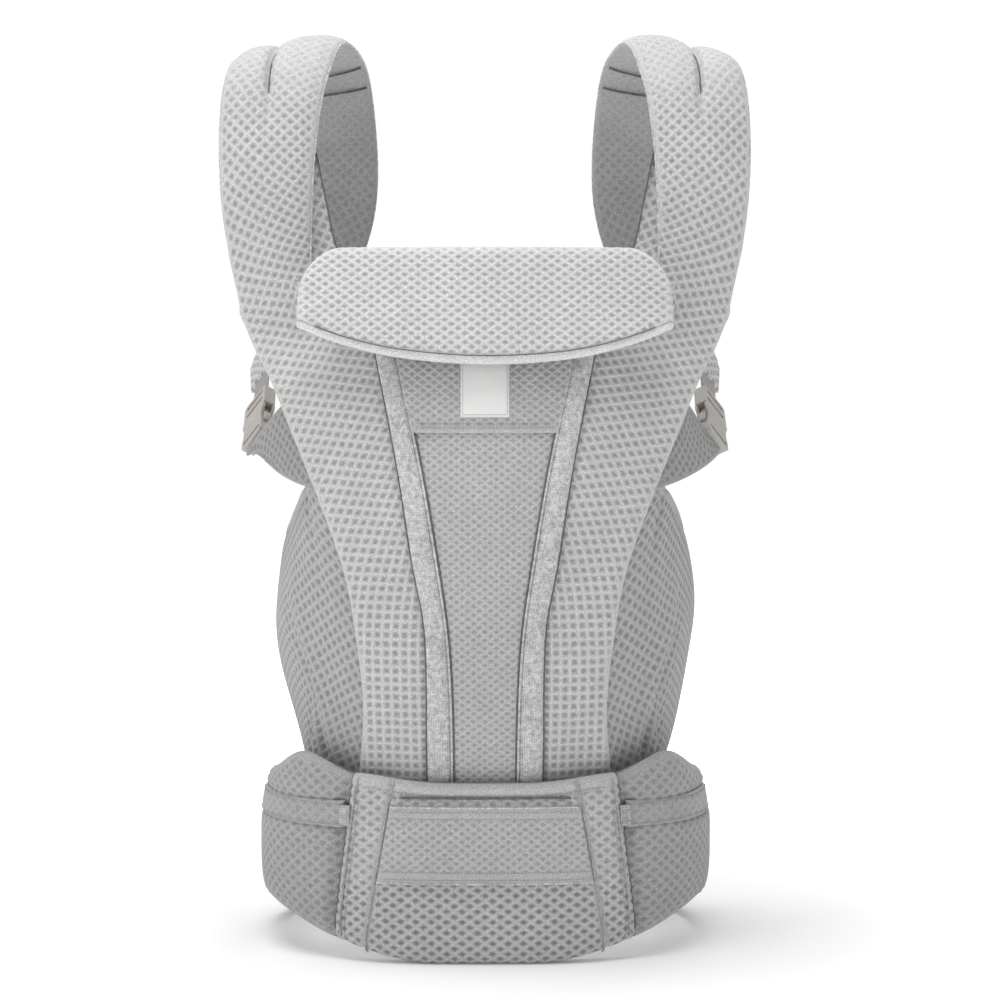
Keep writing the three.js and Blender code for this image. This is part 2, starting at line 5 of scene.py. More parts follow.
import bmesh
import bpy
import numpy as np
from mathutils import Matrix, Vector


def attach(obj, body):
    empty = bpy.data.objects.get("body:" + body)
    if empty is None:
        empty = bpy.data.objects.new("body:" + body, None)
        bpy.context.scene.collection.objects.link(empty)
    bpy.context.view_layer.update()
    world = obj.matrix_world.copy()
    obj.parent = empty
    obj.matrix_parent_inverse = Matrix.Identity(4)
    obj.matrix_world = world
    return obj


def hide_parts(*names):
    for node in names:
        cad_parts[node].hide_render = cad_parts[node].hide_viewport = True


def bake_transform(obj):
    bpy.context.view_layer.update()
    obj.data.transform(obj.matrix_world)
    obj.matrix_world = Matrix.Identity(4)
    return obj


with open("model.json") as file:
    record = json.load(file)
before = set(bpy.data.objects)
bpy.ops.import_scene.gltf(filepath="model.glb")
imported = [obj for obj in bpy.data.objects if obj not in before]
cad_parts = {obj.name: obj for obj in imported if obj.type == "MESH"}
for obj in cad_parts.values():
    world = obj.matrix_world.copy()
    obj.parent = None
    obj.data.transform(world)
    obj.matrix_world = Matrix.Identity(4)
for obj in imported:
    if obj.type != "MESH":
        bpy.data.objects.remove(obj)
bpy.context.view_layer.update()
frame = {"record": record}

MM = 0.001
SIDES = (("left", -1), ("right", 1))

# ---- camera, floor and light
CAMERA_AT = (0.0, -2.161, 0.460)
CAMERA_LENS = 95.2
CAMERA_DOWN = math.radians(2.9)
CAMERA_PAN = math.radians(0.325)
WHITE = (1, 1, 1, 1)
WORLD_SEEN = 1.02  # how bright the camera sees the world
WORLD_FILL = 0.38  # how strongly the world lights the carrier
FLOOR_HALF = 6.0
FLOOR_HEIGHT = -0.0005
FLOOR_TONE = (0.95, 0.95, 0.95, 1)
FLOOR_GLOW = {"From Min": 0.3, "From Max": 1.3, "To Min": 0.08, "To Max": 0.8}
LIGHTS = (  # name, place, aim, size and power
    ("overhead", (-0.25, -0.2, 2.6), (0, 0, 0.3), (2.2, 1.8), 52.0),
    ("key", (-2.4, -2.0, 1.5), (0, 0, 0.35), (1.6, 1.6), 15.0),
    ("rear", (0.8, 2.6, 1.7), (0, 0, 0.35), (1.8, 1.6), 16.0),
)


def make_camera():
    data = bpy.data.cameras.new("camera")
    data.lens = CAMERA_LENS
    data.sensor_width = 36.0
    data.clip_start = 0.05
    data.clip_end = 50.0
    camera = bpy.data.objects.new("camera", data)
    camera.location = CAMERA_AT
    camera.rotation_euler = (math.pi / 2 - CAMERA_DOWN, 0.0, -CAMERA_PAN)
    bpy.context.scene.collection.objects.link(camera)
    bpy.context.scene.camera = camera


def link(obj):
    bpy.context.scene.collection.objects.link(obj)
    return obj


def area_light(name, at, towards, size, power):
    data = bpy.data.lights.new(name, "AREA")
    data.shape = "RECTANGLE"
    data.size, data.size_y = size
    data.energy = power
    light = link(bpy.data.objects.new(name, data))
    light.location = at
    aim = Vector(towards) - Vector(at)
    light.rotation_euler = aim.to_track_quat("-Z", "Y").to_euler()


def make_stage():
    scene = bpy.context.scene
    scene.view_settings.view_transform = "Standard"
    scene.view_settings.look = "None"
    world = bpy.data.worlds.new("studio")
    scene.world = world
    world.use_nodes = True
    nodes, links = world.node_tree.nodes, world.node_tree.links
    nodes.clear()
    ray = nodes.new("ShaderNodeLightPath")
    mix = nodes.new("ShaderNodeMixShader")
    out = nodes.new("ShaderNodeOutputWorld")
    links.new(ray.outputs["Is Camera Ray"], mix.inputs[0])
    for socket, strength in ((1, WORLD_FILL), (2, WORLD_SEEN)):
        background = nodes.new("ShaderNodeBackground")
        background.inputs["Color"].default_value = WHITE
        background.inputs["Strength"].default_value = strength
        links.new(background.outputs[0], mix.inputs[socket])
    links.new(mix.outputs[0], out.inputs[0])

    mesh = bpy.data.meshes.new("floor")
    corners = [(x * FLOOR_HALF, y * FLOOR_HALF, 0) for x, y in ((-1, -1), (1, -1), (1, 1), (-1, 1))]
    mesh.from_pydata(corners, [], [(0, 1, 2, 3)])
    floor = link(bpy.data.objects.new("floor", mesh))
    floor.location.z = FLOOR_HEIGHT
    paper = bpy.data.materials.new("floor_paper")
    paper.use_nodes = True
    shader = paper.node_tree.nodes["Principled BSDF"]
    finish = {"Base Color": FLOOR_TONE, "Roughness": 0.9, "Specular IOR Level": 0.1, "Emission Color": WHITE}
    for socket, value in finish.items():
        shader.inputs[socket].default_value = value
    nodes, links = paper.node_tree.nodes, paper.node_tree.links
    place = nodes.new("ShaderNodeTexCoord")
    away = nodes.new("ShaderNodeVectorMath")
    away.operation = "LENGTH"
    glow = nodes.new("ShaderNodeMapRange")
    for socket, value in FLOOR_GLOW.items():
        glow.inputs[socket].default_value = value
    links.new(place.outputs["Object"], away.inputs[0])
    links.new(away.outputs["Value"], glow.inputs["Value"])
    links.new(glow.outputs[0], shader.inputs["Emission Strength"])
    mesh.materials.append(paper)

    for light in LIGHTS:
        area_light(*light)


make_camera()
make_stage()


# ---- numbers along a length
def lerp(a, b, t):
    return a + (b - a) * t


def ramp(x, low, high):
    t = np.clip((np.asarray(x, float) - low) / (high - low), 0, 1)
    return t * t * (3 - 2 * t)


def bell(x, centre, width):
    return np.exp(-(((np.asarray(x, float) - centre) / width) ** 2))


def unit(v):
    v = np.asarray(v, float)
    return v / np.maximum(np.linalg.norm(v, axis=-1, keepdims=True), 1e-9)


def xyz(x, y, z):
    return np.stack(np.broadcast_arrays(*(np.asarray(c, float) for c in (x, y, z))), -1)


def track(stations):
    """A smooth curve through (place, value) stations."""
    place = np.array([s[0] for s in stations], float)
    value = np.array([s[1] for s in stations], float)
    slope = np.empty_like(value)
    slope[1:-1] = (value[2:] - value[:-2]) / (place[2:] - place[:-2])
    slope[0] = (value[1] - value[0]) / (place[1] - place[0])
    slope[-1] = (value[-1] - value[-2]) / (place[-1] - place[-2])

    def at(x):
        x = np.clip(np.asarray(x, float), place[0], place[-1])
        i = np.clip(np.searchsorted(place, x, side="right") - 1, 0, len(place) - 2)
        h = place[i + 1] - place[i]
        t = (x - place[i]) / h
        t2, t3 = t * t, t * t * t
        rise = slope[i] * h * (t3 - 2 * t2 + t) + slope[i + 1] * h * (t3 - t2)
        return value[i] * (2 * t3 - 3 * t2 + 1) + value[i + 1] * (3 * t2 - 2 * t3) + rise

    return at


def cubic_weights(count, wanted):
    """Rows of Catmull-Rom weights that resample count values to wanted values."""
    at = np.linspace(0, count - 1, wanted)
    i = np.clip(np.floor(at).astype(int), 0, count - 2)
    t = at - i
    table = np.zeros((wanted, count))
    weights = (
        -0.5 * t + t * t - 0.5 * t**3,
        1 - 2.5 * t * t + 1.5 * t**3,
        0.5 * t + 2 * t * t - 1.5 * t**3,
        -0.5 * t * t + 0.5 * t**3,
    )
    rows = np.arange(wanted)
    for step, weight in zip((-1, 0, 1, 2), weights):
        j = i + step
        low, high = j < 0, j > count - 1
        inside = ~(low | high)
        np.add.at(table, (rows[inside], j[inside]), weight[inside])
        np.add.at(table, (rows[low], np.zeros(low.sum(), int)), 2 * weight[low])
        np.add.at(table, (rows[low], np.ones(low.sum(), int)), -weight[low])
        np.add.at(table, (rows[high], np.full(high.sum(), count - 1)), 2 * weight[high])
        np.add.at(table, (rows[high], np.full(high.sum(), count - 2)), -weight[high])
    return table


def resample(grid, na, nb):
    flat = grid.ndim == 2
    if flat:
        grid = grid[..., None]
    wa = cubic_weights(grid.shape[0], na)
    wb = cubic_weights(grid.shape[1], nb)
    out = np.einsum("ia,abk,jb->ijk", wa, grid, wb)
    return out[..., 0] if flat else out


SPLINE_STEPS = 20


def catmull_rom(points):
    """Points of a centripetal spline that runs through the given ones."""
    p = np.asarray(points, float)
    p = np.vstack([2 * p[0] - p[1], p, 2 * p[-1] - p[-2]])
    line = []
    for x0, x1, x2, x3 in zip(p[:-3], p[1:-2], p[2:-1], p[3:]):
        d0, d1, d2 = (np.sqrt(np.linalg.norm(b - a)) for a, b in ((x0, x1), (x1, x2), (x2, x3)))
        m1 = ((x1 - x0) / d0 - (x2 - x0) / (d0 + d1) + (x2 - x1) / d1) * d1
        m2 = ((x2 - x1) / d1 - (x3 - x1) / (d1 + d2) + (x3 - x2) / d2) * d1
        t = np.linspace(0, 1, SPLINE_STEPS, endpoint=False)[:, None]
        cubic = (2 * x1 - 2 * x2 + m1 + m2) * t**3 + (-3 * x1 + 3 * x2 - 2 * m1 - m2) * t**2
        line.append(cubic + m1 * t + x1)
    return np.vstack([*line, p[-2:-1]])


def along(line):
    """Length along a polyline at each of its points."""
    steps = np.linalg.norm(np.diff(line, axis=0), axis=1)
    return np.concatenate([[0], np.cumsum(steps)])


def walk(line, distance):
    """Points of a polyline at distances along it."""
    run = along(line)
    distance = np.asarray(distance, float)
    return np.stack([np.interp(distance, run, line[:, k]) for k in range(3)], -1)


# ---- meshes
def new_piece(name, verts, faces, body="carrier", slot=None, replaces=()):
    mesh = bpy.data.meshes.new(name)
    mesh.from_pydata((np.asarray(verts, float) * MM).tolist(), [], faces)
    obj = link(bpy.data.objects.new(name, mesh))
    mesh.polygons.foreach_set("use_smooth", [True] * len(mesh.polygons))
    if body:
        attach(obj, body)
    if replaces:
        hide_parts(*replaces)
    return obj


def grid_quads(na, nb, first=0):
    i = np.arange(na * nb).reshape(na, nb) + first
    return np.stack([i[:-1, :-1], i[1:, :-1], i[1:, 1:], i[:-1, 1:]], -1).reshape(-1, 4)


def rim_quads(na, nb):
    i = np.arange(na * nb).reshape(na, nb)
    loop = np.concatenate([i[:-1, 0], i[-1, :-1], i[:0:-1, -1], i[0, :0:-1]])
    ahead = np.roll(loop, -1)
    return np.stack([ahead, loop, loop + na * nb, ahead + na * nb], -1)


def grid_normals(grid):
    da = np.gradient(grid, axis=0)
    db = np.gradient(grid, axis=1)
    return unit(np.cross(da, db))


def sheet_faces(front, back):
    """Faces of a closed sheet, wound outwards, with the count of front and rim faces."""
    na, nb = front.shape[:2]
    quads = grid_quads(na, nb)
    far = grid_quads(na, nb, na * nb)[:, ::-1]
    rim = rim_quads(na, nb)
    faces = np.concatenate([quads, rim, far])
    facing = np.sum(grid_normals(front) * (front - back))
    if facing < 0:
        faces = faces[:, ::-1]
    return faces, len(quads) + len(rim)


def paint_uv(obj, coords):
    """Gives each vertex a texture coordinate."""
    mesh = obj.data
    uv = mesh.uv_layers.new(name="UVMap")
    corners = np.empty(len(mesh.loops), int)
    mesh.loops.foreach_get("vertex_index", corners)
    uv.data.foreach_set("uv", np.asarray(coords, np.float32)[corners].ravel())


def closed_sheet(name, front, back, uv, materials, openness=None, **where):
    """A closed cloth or pad from two grids. The first material is outside, the second inside."""
    faces, outer = sheet_faces(front, back)
    verts = np.concatenate([front.reshape(-1, 3), back.reshape(-1, 3)])
    obj = new_piece(name, verts, faces.tolist(), **where)
    for material in materials:
        obj.data.materials.append(material)
    if len(materials) > 1:
        index = np.zeros(len(faces), int)
        index[outer:] = 1
        obj.data.polygons.foreach_set("material_index", index)
    paint_uv(obj, np.concatenate([uv.reshape(-1, 2)] * 2))
    if openness is None:
        openness = np.ones(front.shape[:2])
    layer = obj.data.attributes.new("openness", "FLOAT", "POINT")
    layer.data.foreach_set("value", np.concatenate([openness.ravel()] * 2).astype(np.float32))
    return obj


# ---- cloth
CLOTH_FRAMES = 16
CLOTH = {
    "quality": 4, "mass": 0.3, "tension_stiffness": 12, "compression_stiffness": 12, "shear_stiffness": 5,
    "bending_stiffness": 0.6, "use_pressure": True,
}


def inflate(front, back, pins, pressure, cap):
    """Swells a pad made of two grids with Blender's Cloth. Its rim and the pinned seams stay."""
    faces = sheet_faces(front, back)[0]
    start = np.concatenate([front.reshape(-1, 3), back.reshape(-1, 3)])
    obj = new_piece("inflating", start, faces.tolist(), body=None)
    edge = np.zeros(front.shape[:2], bool)
    edge[[0, -1]] = edge[:, [0, -1]] = True
    if pins is not None:
        edge |= pins
    held = np.flatnonzero(np.concatenate([edge.ravel(), edge.ravel()]))
    group = obj.vertex_groups.new(name="pin")
    group.add(held.tolist(), 1.0, "REPLACE")
    cloth = obj.modifiers.new("cloth", "CLOTH")
    settings = cloth.settings
    settings.vertex_group_mass = "pin"
    for key, value in CLOTH.items():
        setattr(settings, key, value)
    settings.uniform_pressure_force = pressure
    settings.effector_weights.gravity = 0
    cloth.collision_settings.use_collision = False
    scene = bpy.context.scene
    for number in range(1, CLOTH_FRAMES + 1):
        scene.frame_set(number)
    ready = obj.evaluated_get(bpy.context.evaluated_depsgraph_get())
    end = np.empty(len(start) * 3)
    ready.data.vertices.foreach_get("co", end)
    end = end.reshape(-1, 3) / MM
    scene.frame_set(1)
    mesh = obj.data
    bpy.data.objects.remove(obj)
    bpy.data.meshes.remove(mesh)
    move = end - start
    size = np.linalg.norm(move, axis=1, keepdims=True)
    move *= np.minimum(1, cap / np.maximum(size, 1e-9))
    count = front.shape[0] * front.shape[1]
    end = start + move
    return end[:count].reshape(front.shape), end[count:].reshape(back.shape)


# ---- knitted lattice
CELL_EDGE = (0.12, 0.8)  # where a cell starts to sink beside its rib, and where it is deepest


def lattice_uv(u, v, width, height, turn=0.0):
    """Coordinates that count the ribs of a mesh with cells width by height, turned in the cloth."""
    c, s = math.cos(math.radians(turn)), math.sin(math.radians(turn))
    x, y = c * u - s * v, s * u + c * v
    return np.stack([x / width + y / height, x / width - y / height], -1)


def hole_depth(uv):
    """1 in the middle of a cell of the mesh and 0 on its ribs."""
    away = 1 - np.abs(2 * (uv - np.floor(uv)) - 1)
    return ramp(away[..., 0], *CELL_EDGE) * ramp(away[..., 1], *CELL_EDGE)


def emboss(front, back, height):
    """Front moved outwards by height at each point."""
    normals = grid_normals(front)
    if np.sum(normals * (front - back)) < 0:
        normals = -normals
    return front + normals * height[..., None]


# ---- threads, cords and trims
def frames_along(line):
    """Side and lift at each point of a polyline, without twist."""
    tangent = unit(np.gradient(line, axis=0))
    lift = np.empty_like(tangent)
    guess = np.array([0.0, 0.0, 1.0]) if abs(tangent[0][2]) < 0.9 else np.array([1.0, 0.0, 0.0])
    current = unit(guess - tangent[0] * np.dot(guess, tangent[0]))
    for i, t in enumerate(tangent):
        current = unit(current - t * np.dot(current, t))
        lift[i] = current
    return np.cross(tangent, lift), lift


def tube_mesh(line, radius, sides):
    """Vertices and faces of a capped tube."""
    side, lift = frames_along(line)
    radius = np.broadcast_to(np.asarray(radius, float), (len(line),))[:, None, None]
    angle = np.arange(sides) * 2 * math.pi / sides
    ring = np.cos(angle)[None, :, None] * side[:, None] + np.sin(angle)[None, :, None] * lift[:, None]
    verts = (line[:, None] + radius * ring).reshape(-1, 3)
    faces = []
    for i in range(len(line) - 1):
        a, b = i * sides, (i + 1) * sides
        for k in range(sides):
            m = (k + 1) % sides
            faces.append([a + k, a + m, b + m, b + k])
    faces.append(list(range(sides))[::-1])
    faces.append([(len(line) - 1) * sides + k for k in range(sides)])
    return verts, faces


def join_meshes(parts):
    verts, faces, start = [], [], 0
    for v, f in parts:
        verts.append(v)
        faces.extend([[i + start for i in face] for face in f])
        start += len(v)
    return np.vstack(verts), faces


def thread_piece(name, parts, material, slot, body):
    verts, faces = join_meshes(parts)
    obj = new_piece(name, verts, faces, body=body, slot=slot)
    obj.data.materials.append(material)


def piping(name, lines, radius, material, sides=8, slot="smooth_knit", body="carrier"):
    """Corded edging or seam rolls that follow lines, and thin dark tubes of painted seam shadow."""
    parts = []
    for line in lines:
        run = along(line)[-1]
        count = max(6, int(run / 3.5))
        even = walk(line, np.linspace(0, run, count))
        wave = 1 + 0.05 * np.sin(np.arange(count) * 1.9)
        parts.append(tube_mesh(even, radius * wave, sides))
    thread_piece(name, parts, material, slot, body)


def stitches(name, lines, pitch=2.9, length=2.1, radius=0.33, slot="smooth_knit"):
    """Rows of short thread stitches that follow lines on the cloth. The thread is a darker grey than the
    cloth, painted shade of stitches sunk in it.
    """
    parts = []
    profile = np.array([0.35, 1.0, 1.0, 0.35])
    spots = np.array([-0.5, -0.22, 0.22, 0.5]) * length
    for line in lines:
        run = along(line)[-1]
        for middle in np.arange(pitch / 2, run, pitch):
            at = walk(line, np.clip(middle + spots, 0, run))
            if np.linalg.norm(at[-1] - at[0]) < length * 0.5:
                continue
            parts.append(tube_mesh(at, radius * profile, 5))
    thread_piece(name, parts, SHADED_THREAD, slot, "carrier")


# ---- materials
def linear(level):
    """Linear value of an sRGB level from 0 to 255."""
    c = level / 255
    return c / 12.92 if c <= 0.04045 else ((c + 0.055) / 1.055) ** 2.4


def grey(level, warm=0.5):
    """A grey as linear RGBA. warm adds that many levels to red and takes them from blue."""
    return (linear(level + warm), linear(level), linear(level - warm), 1.0)


class Shader:
    """A Principled material and short ways to add nodes to it."""

    def __init__(self, name, roughness, sheen=0.0, specular=0.5):
        self.material = bpy.data.materials.new(name)
        self.material.use_nodes = True
        self.tree = self.material.node_tree
        self.bsdf = self.tree.nodes["Principled BSDF"]
        for key, value in (("Roughness", roughness), ("Sheen Weight", sheen), ("Sheen Roughness", 0.5),
                           ("Specular IOR Level", specular)):
            self.bsdf.inputs[key].default_value = value

    def node(self, kind, values=None, **settings):
        made = self.tree.nodes.new("ShaderNode" + kind)
        for key, value in settings.items():
            setattr(made, key, value)
        for key, value in (values or {}).items():
            if isinstance(value, bpy.types.NodeSocket):
                self.tree.links.new(value, made.inputs[key])
            else:
                made.inputs[key].default_value = value
        return made

    def math(self, operation, *values):
        return self.node("Math", dict(enumerate(values)), operation=operation).outputs[0]

    def add(self, a, b):
        return self.math("ADD", a, b)

    def times(self, a, b):
        return self.math("MULTIPLY", a, b)

    def step(self, value, low, high, to_low=0.0, to_high=1.0):
        values = {"Value": value, "From Min": low, "From Max": high, "To Min": to_low, "To Max": to_high}
        return self.node("MapRange", values, interpolation_type="SMOOTHSTEP").outputs[0]

    def uv(self):
        split = self.node("SeparateXYZ", {0: self.node("UVMap", uv_map="UVMap").outputs[0]})
        return split.outputs[0], split.outputs[1]

    def attribute(self, name):
        return self.node("Attribute", attribute_name=name).outputs["Fac"]

    def noise(self, scale, detail, vector=None, roughness=0.5):
        vector = vector or self.node("TexCoord").outputs["Object"]
        values = {"Vector": vector, "Scale": scale, "Detail": detail, "Roughness": roughness}
        return self.node("TexNoise", values).outputs["Fac"]

    def mix(self, share, a, b):
        made = self.node("Mix", data_type="RGBA")
        for index, value in ((0, share), (6, a), (7, b)):
            if isinstance(value, bpy.types.NodeSocket):
                self.tree.links.new(value, made.inputs[index])
            else:
                made.inputs[index].default_value = value
        return made.outputs[2]

    def brighten(self, color, factor):
        return self.node("VectorMath", {0: color, 3: factor}, operation="SCALE").outputs[0]

    def color(self, socket):
        self.tree.links.new(socket, self.bsdf.inputs["Base Color"])

    def roughness(self, socket):
        self.tree.links.new(socket, self.bsdf.inputs["Roughness"])

    def bump(self, height, distance, strength=1.0):
        made = self.node("Bump", {"Height": height, "Distance": distance, "Strength": strength})
        self.tree.links.new(made.outputs[0], self.bsdf.inputs["Normal"])


def wear(s, color, amount):
    """Slow patches of lighter and darker cloth over a finer, weaker one."""
    slow = s.noise(11.0, 3.0)
    fine = s.noise(60.0, 2.0)
    both = s.add(s.times(slow, 0.65), s.times(fine, 0.35))
    return s.brighten(color, s.step(both, 0.3, 0.7, 1 - amount, 1 + amount))


YARN_CONTRAST = 0.19


def mesh_material(name, rib, hole_shade, contrast=1.0):
    """Knitted spacer mesh: open cells between raised ribs, with the loops of the yarn on both. Painted shade
    darkens the cells and a faint painted highlight lightens the ribs.
    """
    s = Shader(name, roughness=0.82, sheen=0.18, specular=0.22)
    p, q = s.uv()
    opened = s.attribute("openness")
    near = [s.times(s.math("PINGPONG", c, 0.5), 2.0) for c in (p, q)]
    cells = s.times(s.step(near[0], *CELL_EDGE), s.step(near[1], *CELL_EDGE))
    cells = s.times(cells, s.times(opened, contrast))
    lines = s.math("MAXIMUM", s.step(near[0], 0.3, 0.02), s.step(near[1], 0.3, 0.02))
    lines = s.times(lines, opened)
    uv = s.node("UVMap", uv_map="UVMap").outputs[0]
    loops = s.noise(6.5, 3.0, uv, 0.75)
    grain = s.noise(950.0, 1.0)
    # painted shade: each cell is mixed from the rib grey towards a darker grey, for the shade down in the
    # open cells
    color = s.mix(cells, grey(rib), grey(hole_shade))
    for texture, amount in ((loops, YARN_CONTRAST), (grain, YARN_CONTRAST * 0.8)):
        color = s.brighten(color, s.step(texture, 0.3, 0.7, 1 - amount, 1 + amount))
    # painted highlight: the rib lines are made a little paler, as light catching their crowns
    color = s.brighten(color, s.add(1.0, s.times(lines, 0.07 * contrast)))
    s.color(wear(s, color, 0.05))
    height = s.add(s.times(lines, 0.6), s.times(loops, 0.8))
    height = s.math("SUBTRACT", height, cells)
    s.bump(s.add(height, s.times(grain, 0.35)), 0.0005, 0.8)
    return s.material


def knit_material(name, level, wale=1.3):
    """Smooth fine knit. Texture coordinates are in millimetres across and along the wales."""
    s = Shader(name, roughness=0.85, sheen=0.22, specular=0.2)
    u, v = s.uv()
    wales = s.math("SINE", s.times(u, 2 * math.pi / wale))
    lean = s.times(s.math("ABSOLUTE", wales), 0.45)
    courses = s.math("SINE", s.times(s.add(v, lean), 2 * math.pi / (wale * 0.9)))
    grain = s.add(s.noise(700.0, 2.0), s.noise(260.0, 2.0))
    knit = s.add(s.times(wales, 0.3), s.times(courses, 0.25))
    knit = s.add(knit, s.times(s.math("SUBTRACT", grain, 0.5), 2.2))
    color = s.mix(s.step(knit, 0.1, 2.1), grey(level * 0.78), grey(min(level * 1.16, 250)))
    s.color(wear(s, color, 0.07))
    s.bump(knit, 0.00018, 0.8)
    return s.material


HOLE_PITCH = 3.6


def lining_material(name, level):
    """Soft close mesh of the inside: rows of small round holes. Coordinates are in millimetres."""
    s = Shader(name, roughness=0.88, sheen=0.2, specular=0.18)
    u, v = s.uv()
    row = s.times(v, 2 / HOLE_PITCH)
    shifted = s.add(s.math("DIVIDE", u, HOLE_PITCH), s.times(s.math("FLOOR", row), 0.5))
    across = s.math("SUBTRACT", s.math("FRACT", shifted), 0.5)
    up = s.times(s.math("SUBTRACT", s.math("FRACT", row), 0.5), 0.5)
    away = s.math("SQRT", s.add(s.times(across, across), s.times(up, up)))
    dots = s.step(away, 0.24, 0.1)
    grain = s.noise(800.0, 2.0)
    # painted shade: the small holes are a darker grey, for the shade inside them
    color = s.mix(dots, grey(level), grey(level * 0.74))
    color = s.brighten(color, s.step(grain, 0.3, 0.7, 0.92, 1.07))
    s.color(wear(s, color, 0.05))
    s.bump(s.math("SUBTRACT", s.times(grain, 0.5), dots), 0.0005, 0.8)
    return s.material


WEBBING_WARM = 1.5
WEBBING_RIB = 2.1


def webbing_material(name, level):
    """Woven polyester webbing. Coordinates are in millimetres across and along the tape."""
    s = Shader(name, roughness=0.62, sheen=0.12, specular=0.35)
    u, v = s.uv()
    zigzag = s.times(s.math("PINGPONG", u, 2.6), 0.9)
    rows = s.math("SINE", s.times(s.add(v, zigzag), 2 * math.pi / WEBBING_RIB))
    ends = s.math("SINE", s.times(u, 2 * math.pi / 0.9))
    weave = s.add(s.times(rows, 0.7), s.times(ends, 0.3))
    grain = s.noise(900.0, 1.0)
    weave = s.add(weave, s.times(grain, 0.6))
    dark, pale = grey(level * 0.74, WEBBING_WARM), grey(min(level * 1.08, 245), WEBBING_WARM)
    color = s.mix(s.step(weave, -0.7, 1.3), dark, pale)
    s.color(wear(s, color, 0.05))
    s.bump(weave, 0.00035, 0.9)
    return s.material


PLASTIC_WARM = 5.0


def plastic_material(name, level, roughness=0.42):
    """Moulded acetal: satin skin with a faint spark texture, a little paler on its convex edges."""
    s = Shader(name, roughness=roughness, specular=0.45)
    fine = s.noise(1500.0, 1.0)
    slow = s.noise(40.0, 2.0)
    edge = s.node("NewGeometry").outputs["Pointiness"]
    convex_edges = s.step(edge, 0.5, 0.6)
    color = s.mix(convex_edges, grey(level, PLASTIC_WARM), grey(min(level * 1.1, 240), PLASTIC_WARM))
    s.color(s.brighten(color, s.step(slow, 0.3, 0.7, 0.96, 1.03)))
    s.roughness(s.step(slow, 0.3, 0.7, roughness - 0.05, roughness + 0.08))
    s.bump(fine, 0.00006, 0.6)
    return s.material


def label_material():
    """Close white satin weave with fine cross ribs."""
    s = Shader("label_weave", roughness=0.55, sheen=0.1, specular=0.3)
    u, v = s.uv()
    rows = s.math("SINE", s.times(v, 2 * math.pi / 0.7))
    ends = s.math("SINE", s.times(u, 2 * math.pi / 0.5))
    weave = s.add(s.times(rows, 0.6), s.times(ends, 0.4))
    grain = s.noise(500.0, 2.0)
    weave = s.add(weave, s.times(grain, 0.8))
    color = s.mix(s.step(weave, -0.6, 1.4), grey(226, 1), grey(247, 1))
    s.color(wear(s, color, 0.02))
    s.bump(weave, 0.00012, 0.7)
    return s.material


MESH = mesh_material("air_mesh", 196, 154)
# painted light: the head support's air mesh is a paler copy of the strap mesh, as the lit top of the carrier
MESH_HEAD_LIT = mesh_material("air_mesh_head_lit", 210, 166)
# painted shade: the waistband front's air mesh is a darker copy of the strap mesh, for the lower carrier in
# shade; its deeper cells are partly its more open knit
MESH_OPEN_SHADED = mesh_material("air_mesh_open_shaded", 188, 132)
# partly painted shade: the centre panel and pockets have a real closer, lower-contrast knit, and its darker
# grey than the strap mesh is painted shade of the lower carrier
MESH_CLOSE_SHADED = mesh_material("air_mesh_close_shaded", 186, 154, contrast=0.9)
# painted shade: darker copies of the same air mesh for the side pads and seat wings, which lie lower in shade
MESH_SIDE_SHADED = mesh_material("air_mesh_side_shaded", 165, 142)
MESH_WING_SHADED = mesh_material("air_mesh_wing_shaded", 172, 136)
KNIT = knit_material("smooth_knit", 194)
TAB_MESH = mesh_material("tab_mesh", 152, 124)
BINDING = knit_material("edge_binding", 194, wale=1.0)
# painted shadow: a dark knit for thin tubes laid where a seam, crease or opening falls into shade
PAINTED_SEAM_SHADOW = knit_material("seam_shadow", 104, wale=1.0)
LINING = lining_material("soft_lining", 158)
LINING_MESH = mesh_material("strap_lining_mesh", 167, 136, contrast=0.6)
WEBBING = webbing_material("woven_webbing", 176)
# painted shade: a darker copy of the smooth knit, for the waistband piping and adjuster loops in the
# carrier's lower shade
BAND_KNIT_SHADED = knit_material("adjuster_knit_shaded", 168, wale=1.5)
PLASTIC = plastic_material("satin_acetal", 176)
BUTTON = plastic_material("satin_button", 150, roughness=0.38)
LABEL = label_material()
# painted shade: the thread is darker than the cloth it sews, for the shade of stitches sunk in the knit
SHADED_THREAD = knit_material("sewing_thread_shaded", 150, wale=0.6)


# ---- soft pieces
def mean_run(grid, axis):
    return np.linalg.norm(np.diff(grid, axis=axis), axis=-1).sum(axis=axis).mean()


def soft_piece(name, front, back, uv, materials, step, relief, detail=None, marks=None, pins=None,
               pressure=0.0, cap=0.0, flat=None, rests=(), fill=None, slot="mesh_fabric", **where):
    """A cloth or pad from two coarse grids: swollen, made finer, creased by detail, then given its lattice.

    flat is a cloth's width and length as it was cut, rests what it lies on, and fill how full a pad is. None
    of these three is used.
    """
    if pressure:
        front, back = inflate(front, back, pins, pressure, cap)
    na, nb = (int(mean_run(front, axis) / step) + 2 for axis in (0, 1))
    front, back, uv = (resample(g, na, nb) for g in (front, back, uv))
    marks = {key: resample(value, na, nb) for key, value in (marks or {}).items()}
    openness = np.ones((na, nb))
    height = np.zeros((na, nb))
    if detail is not None:
        height, openness = detail(marks, height, openness)
    raised = emboss(front, back, height - relief * hole_depth(uv) * openness)
    obj = closed_sheet(name, raised, back, uv, materials, openness, slot=slot, **where)


def grid(na, nb):
    return np.meshgrid(np.linspace(0, 1, na), np.linspace(0, 1, nb), indexing="ij")


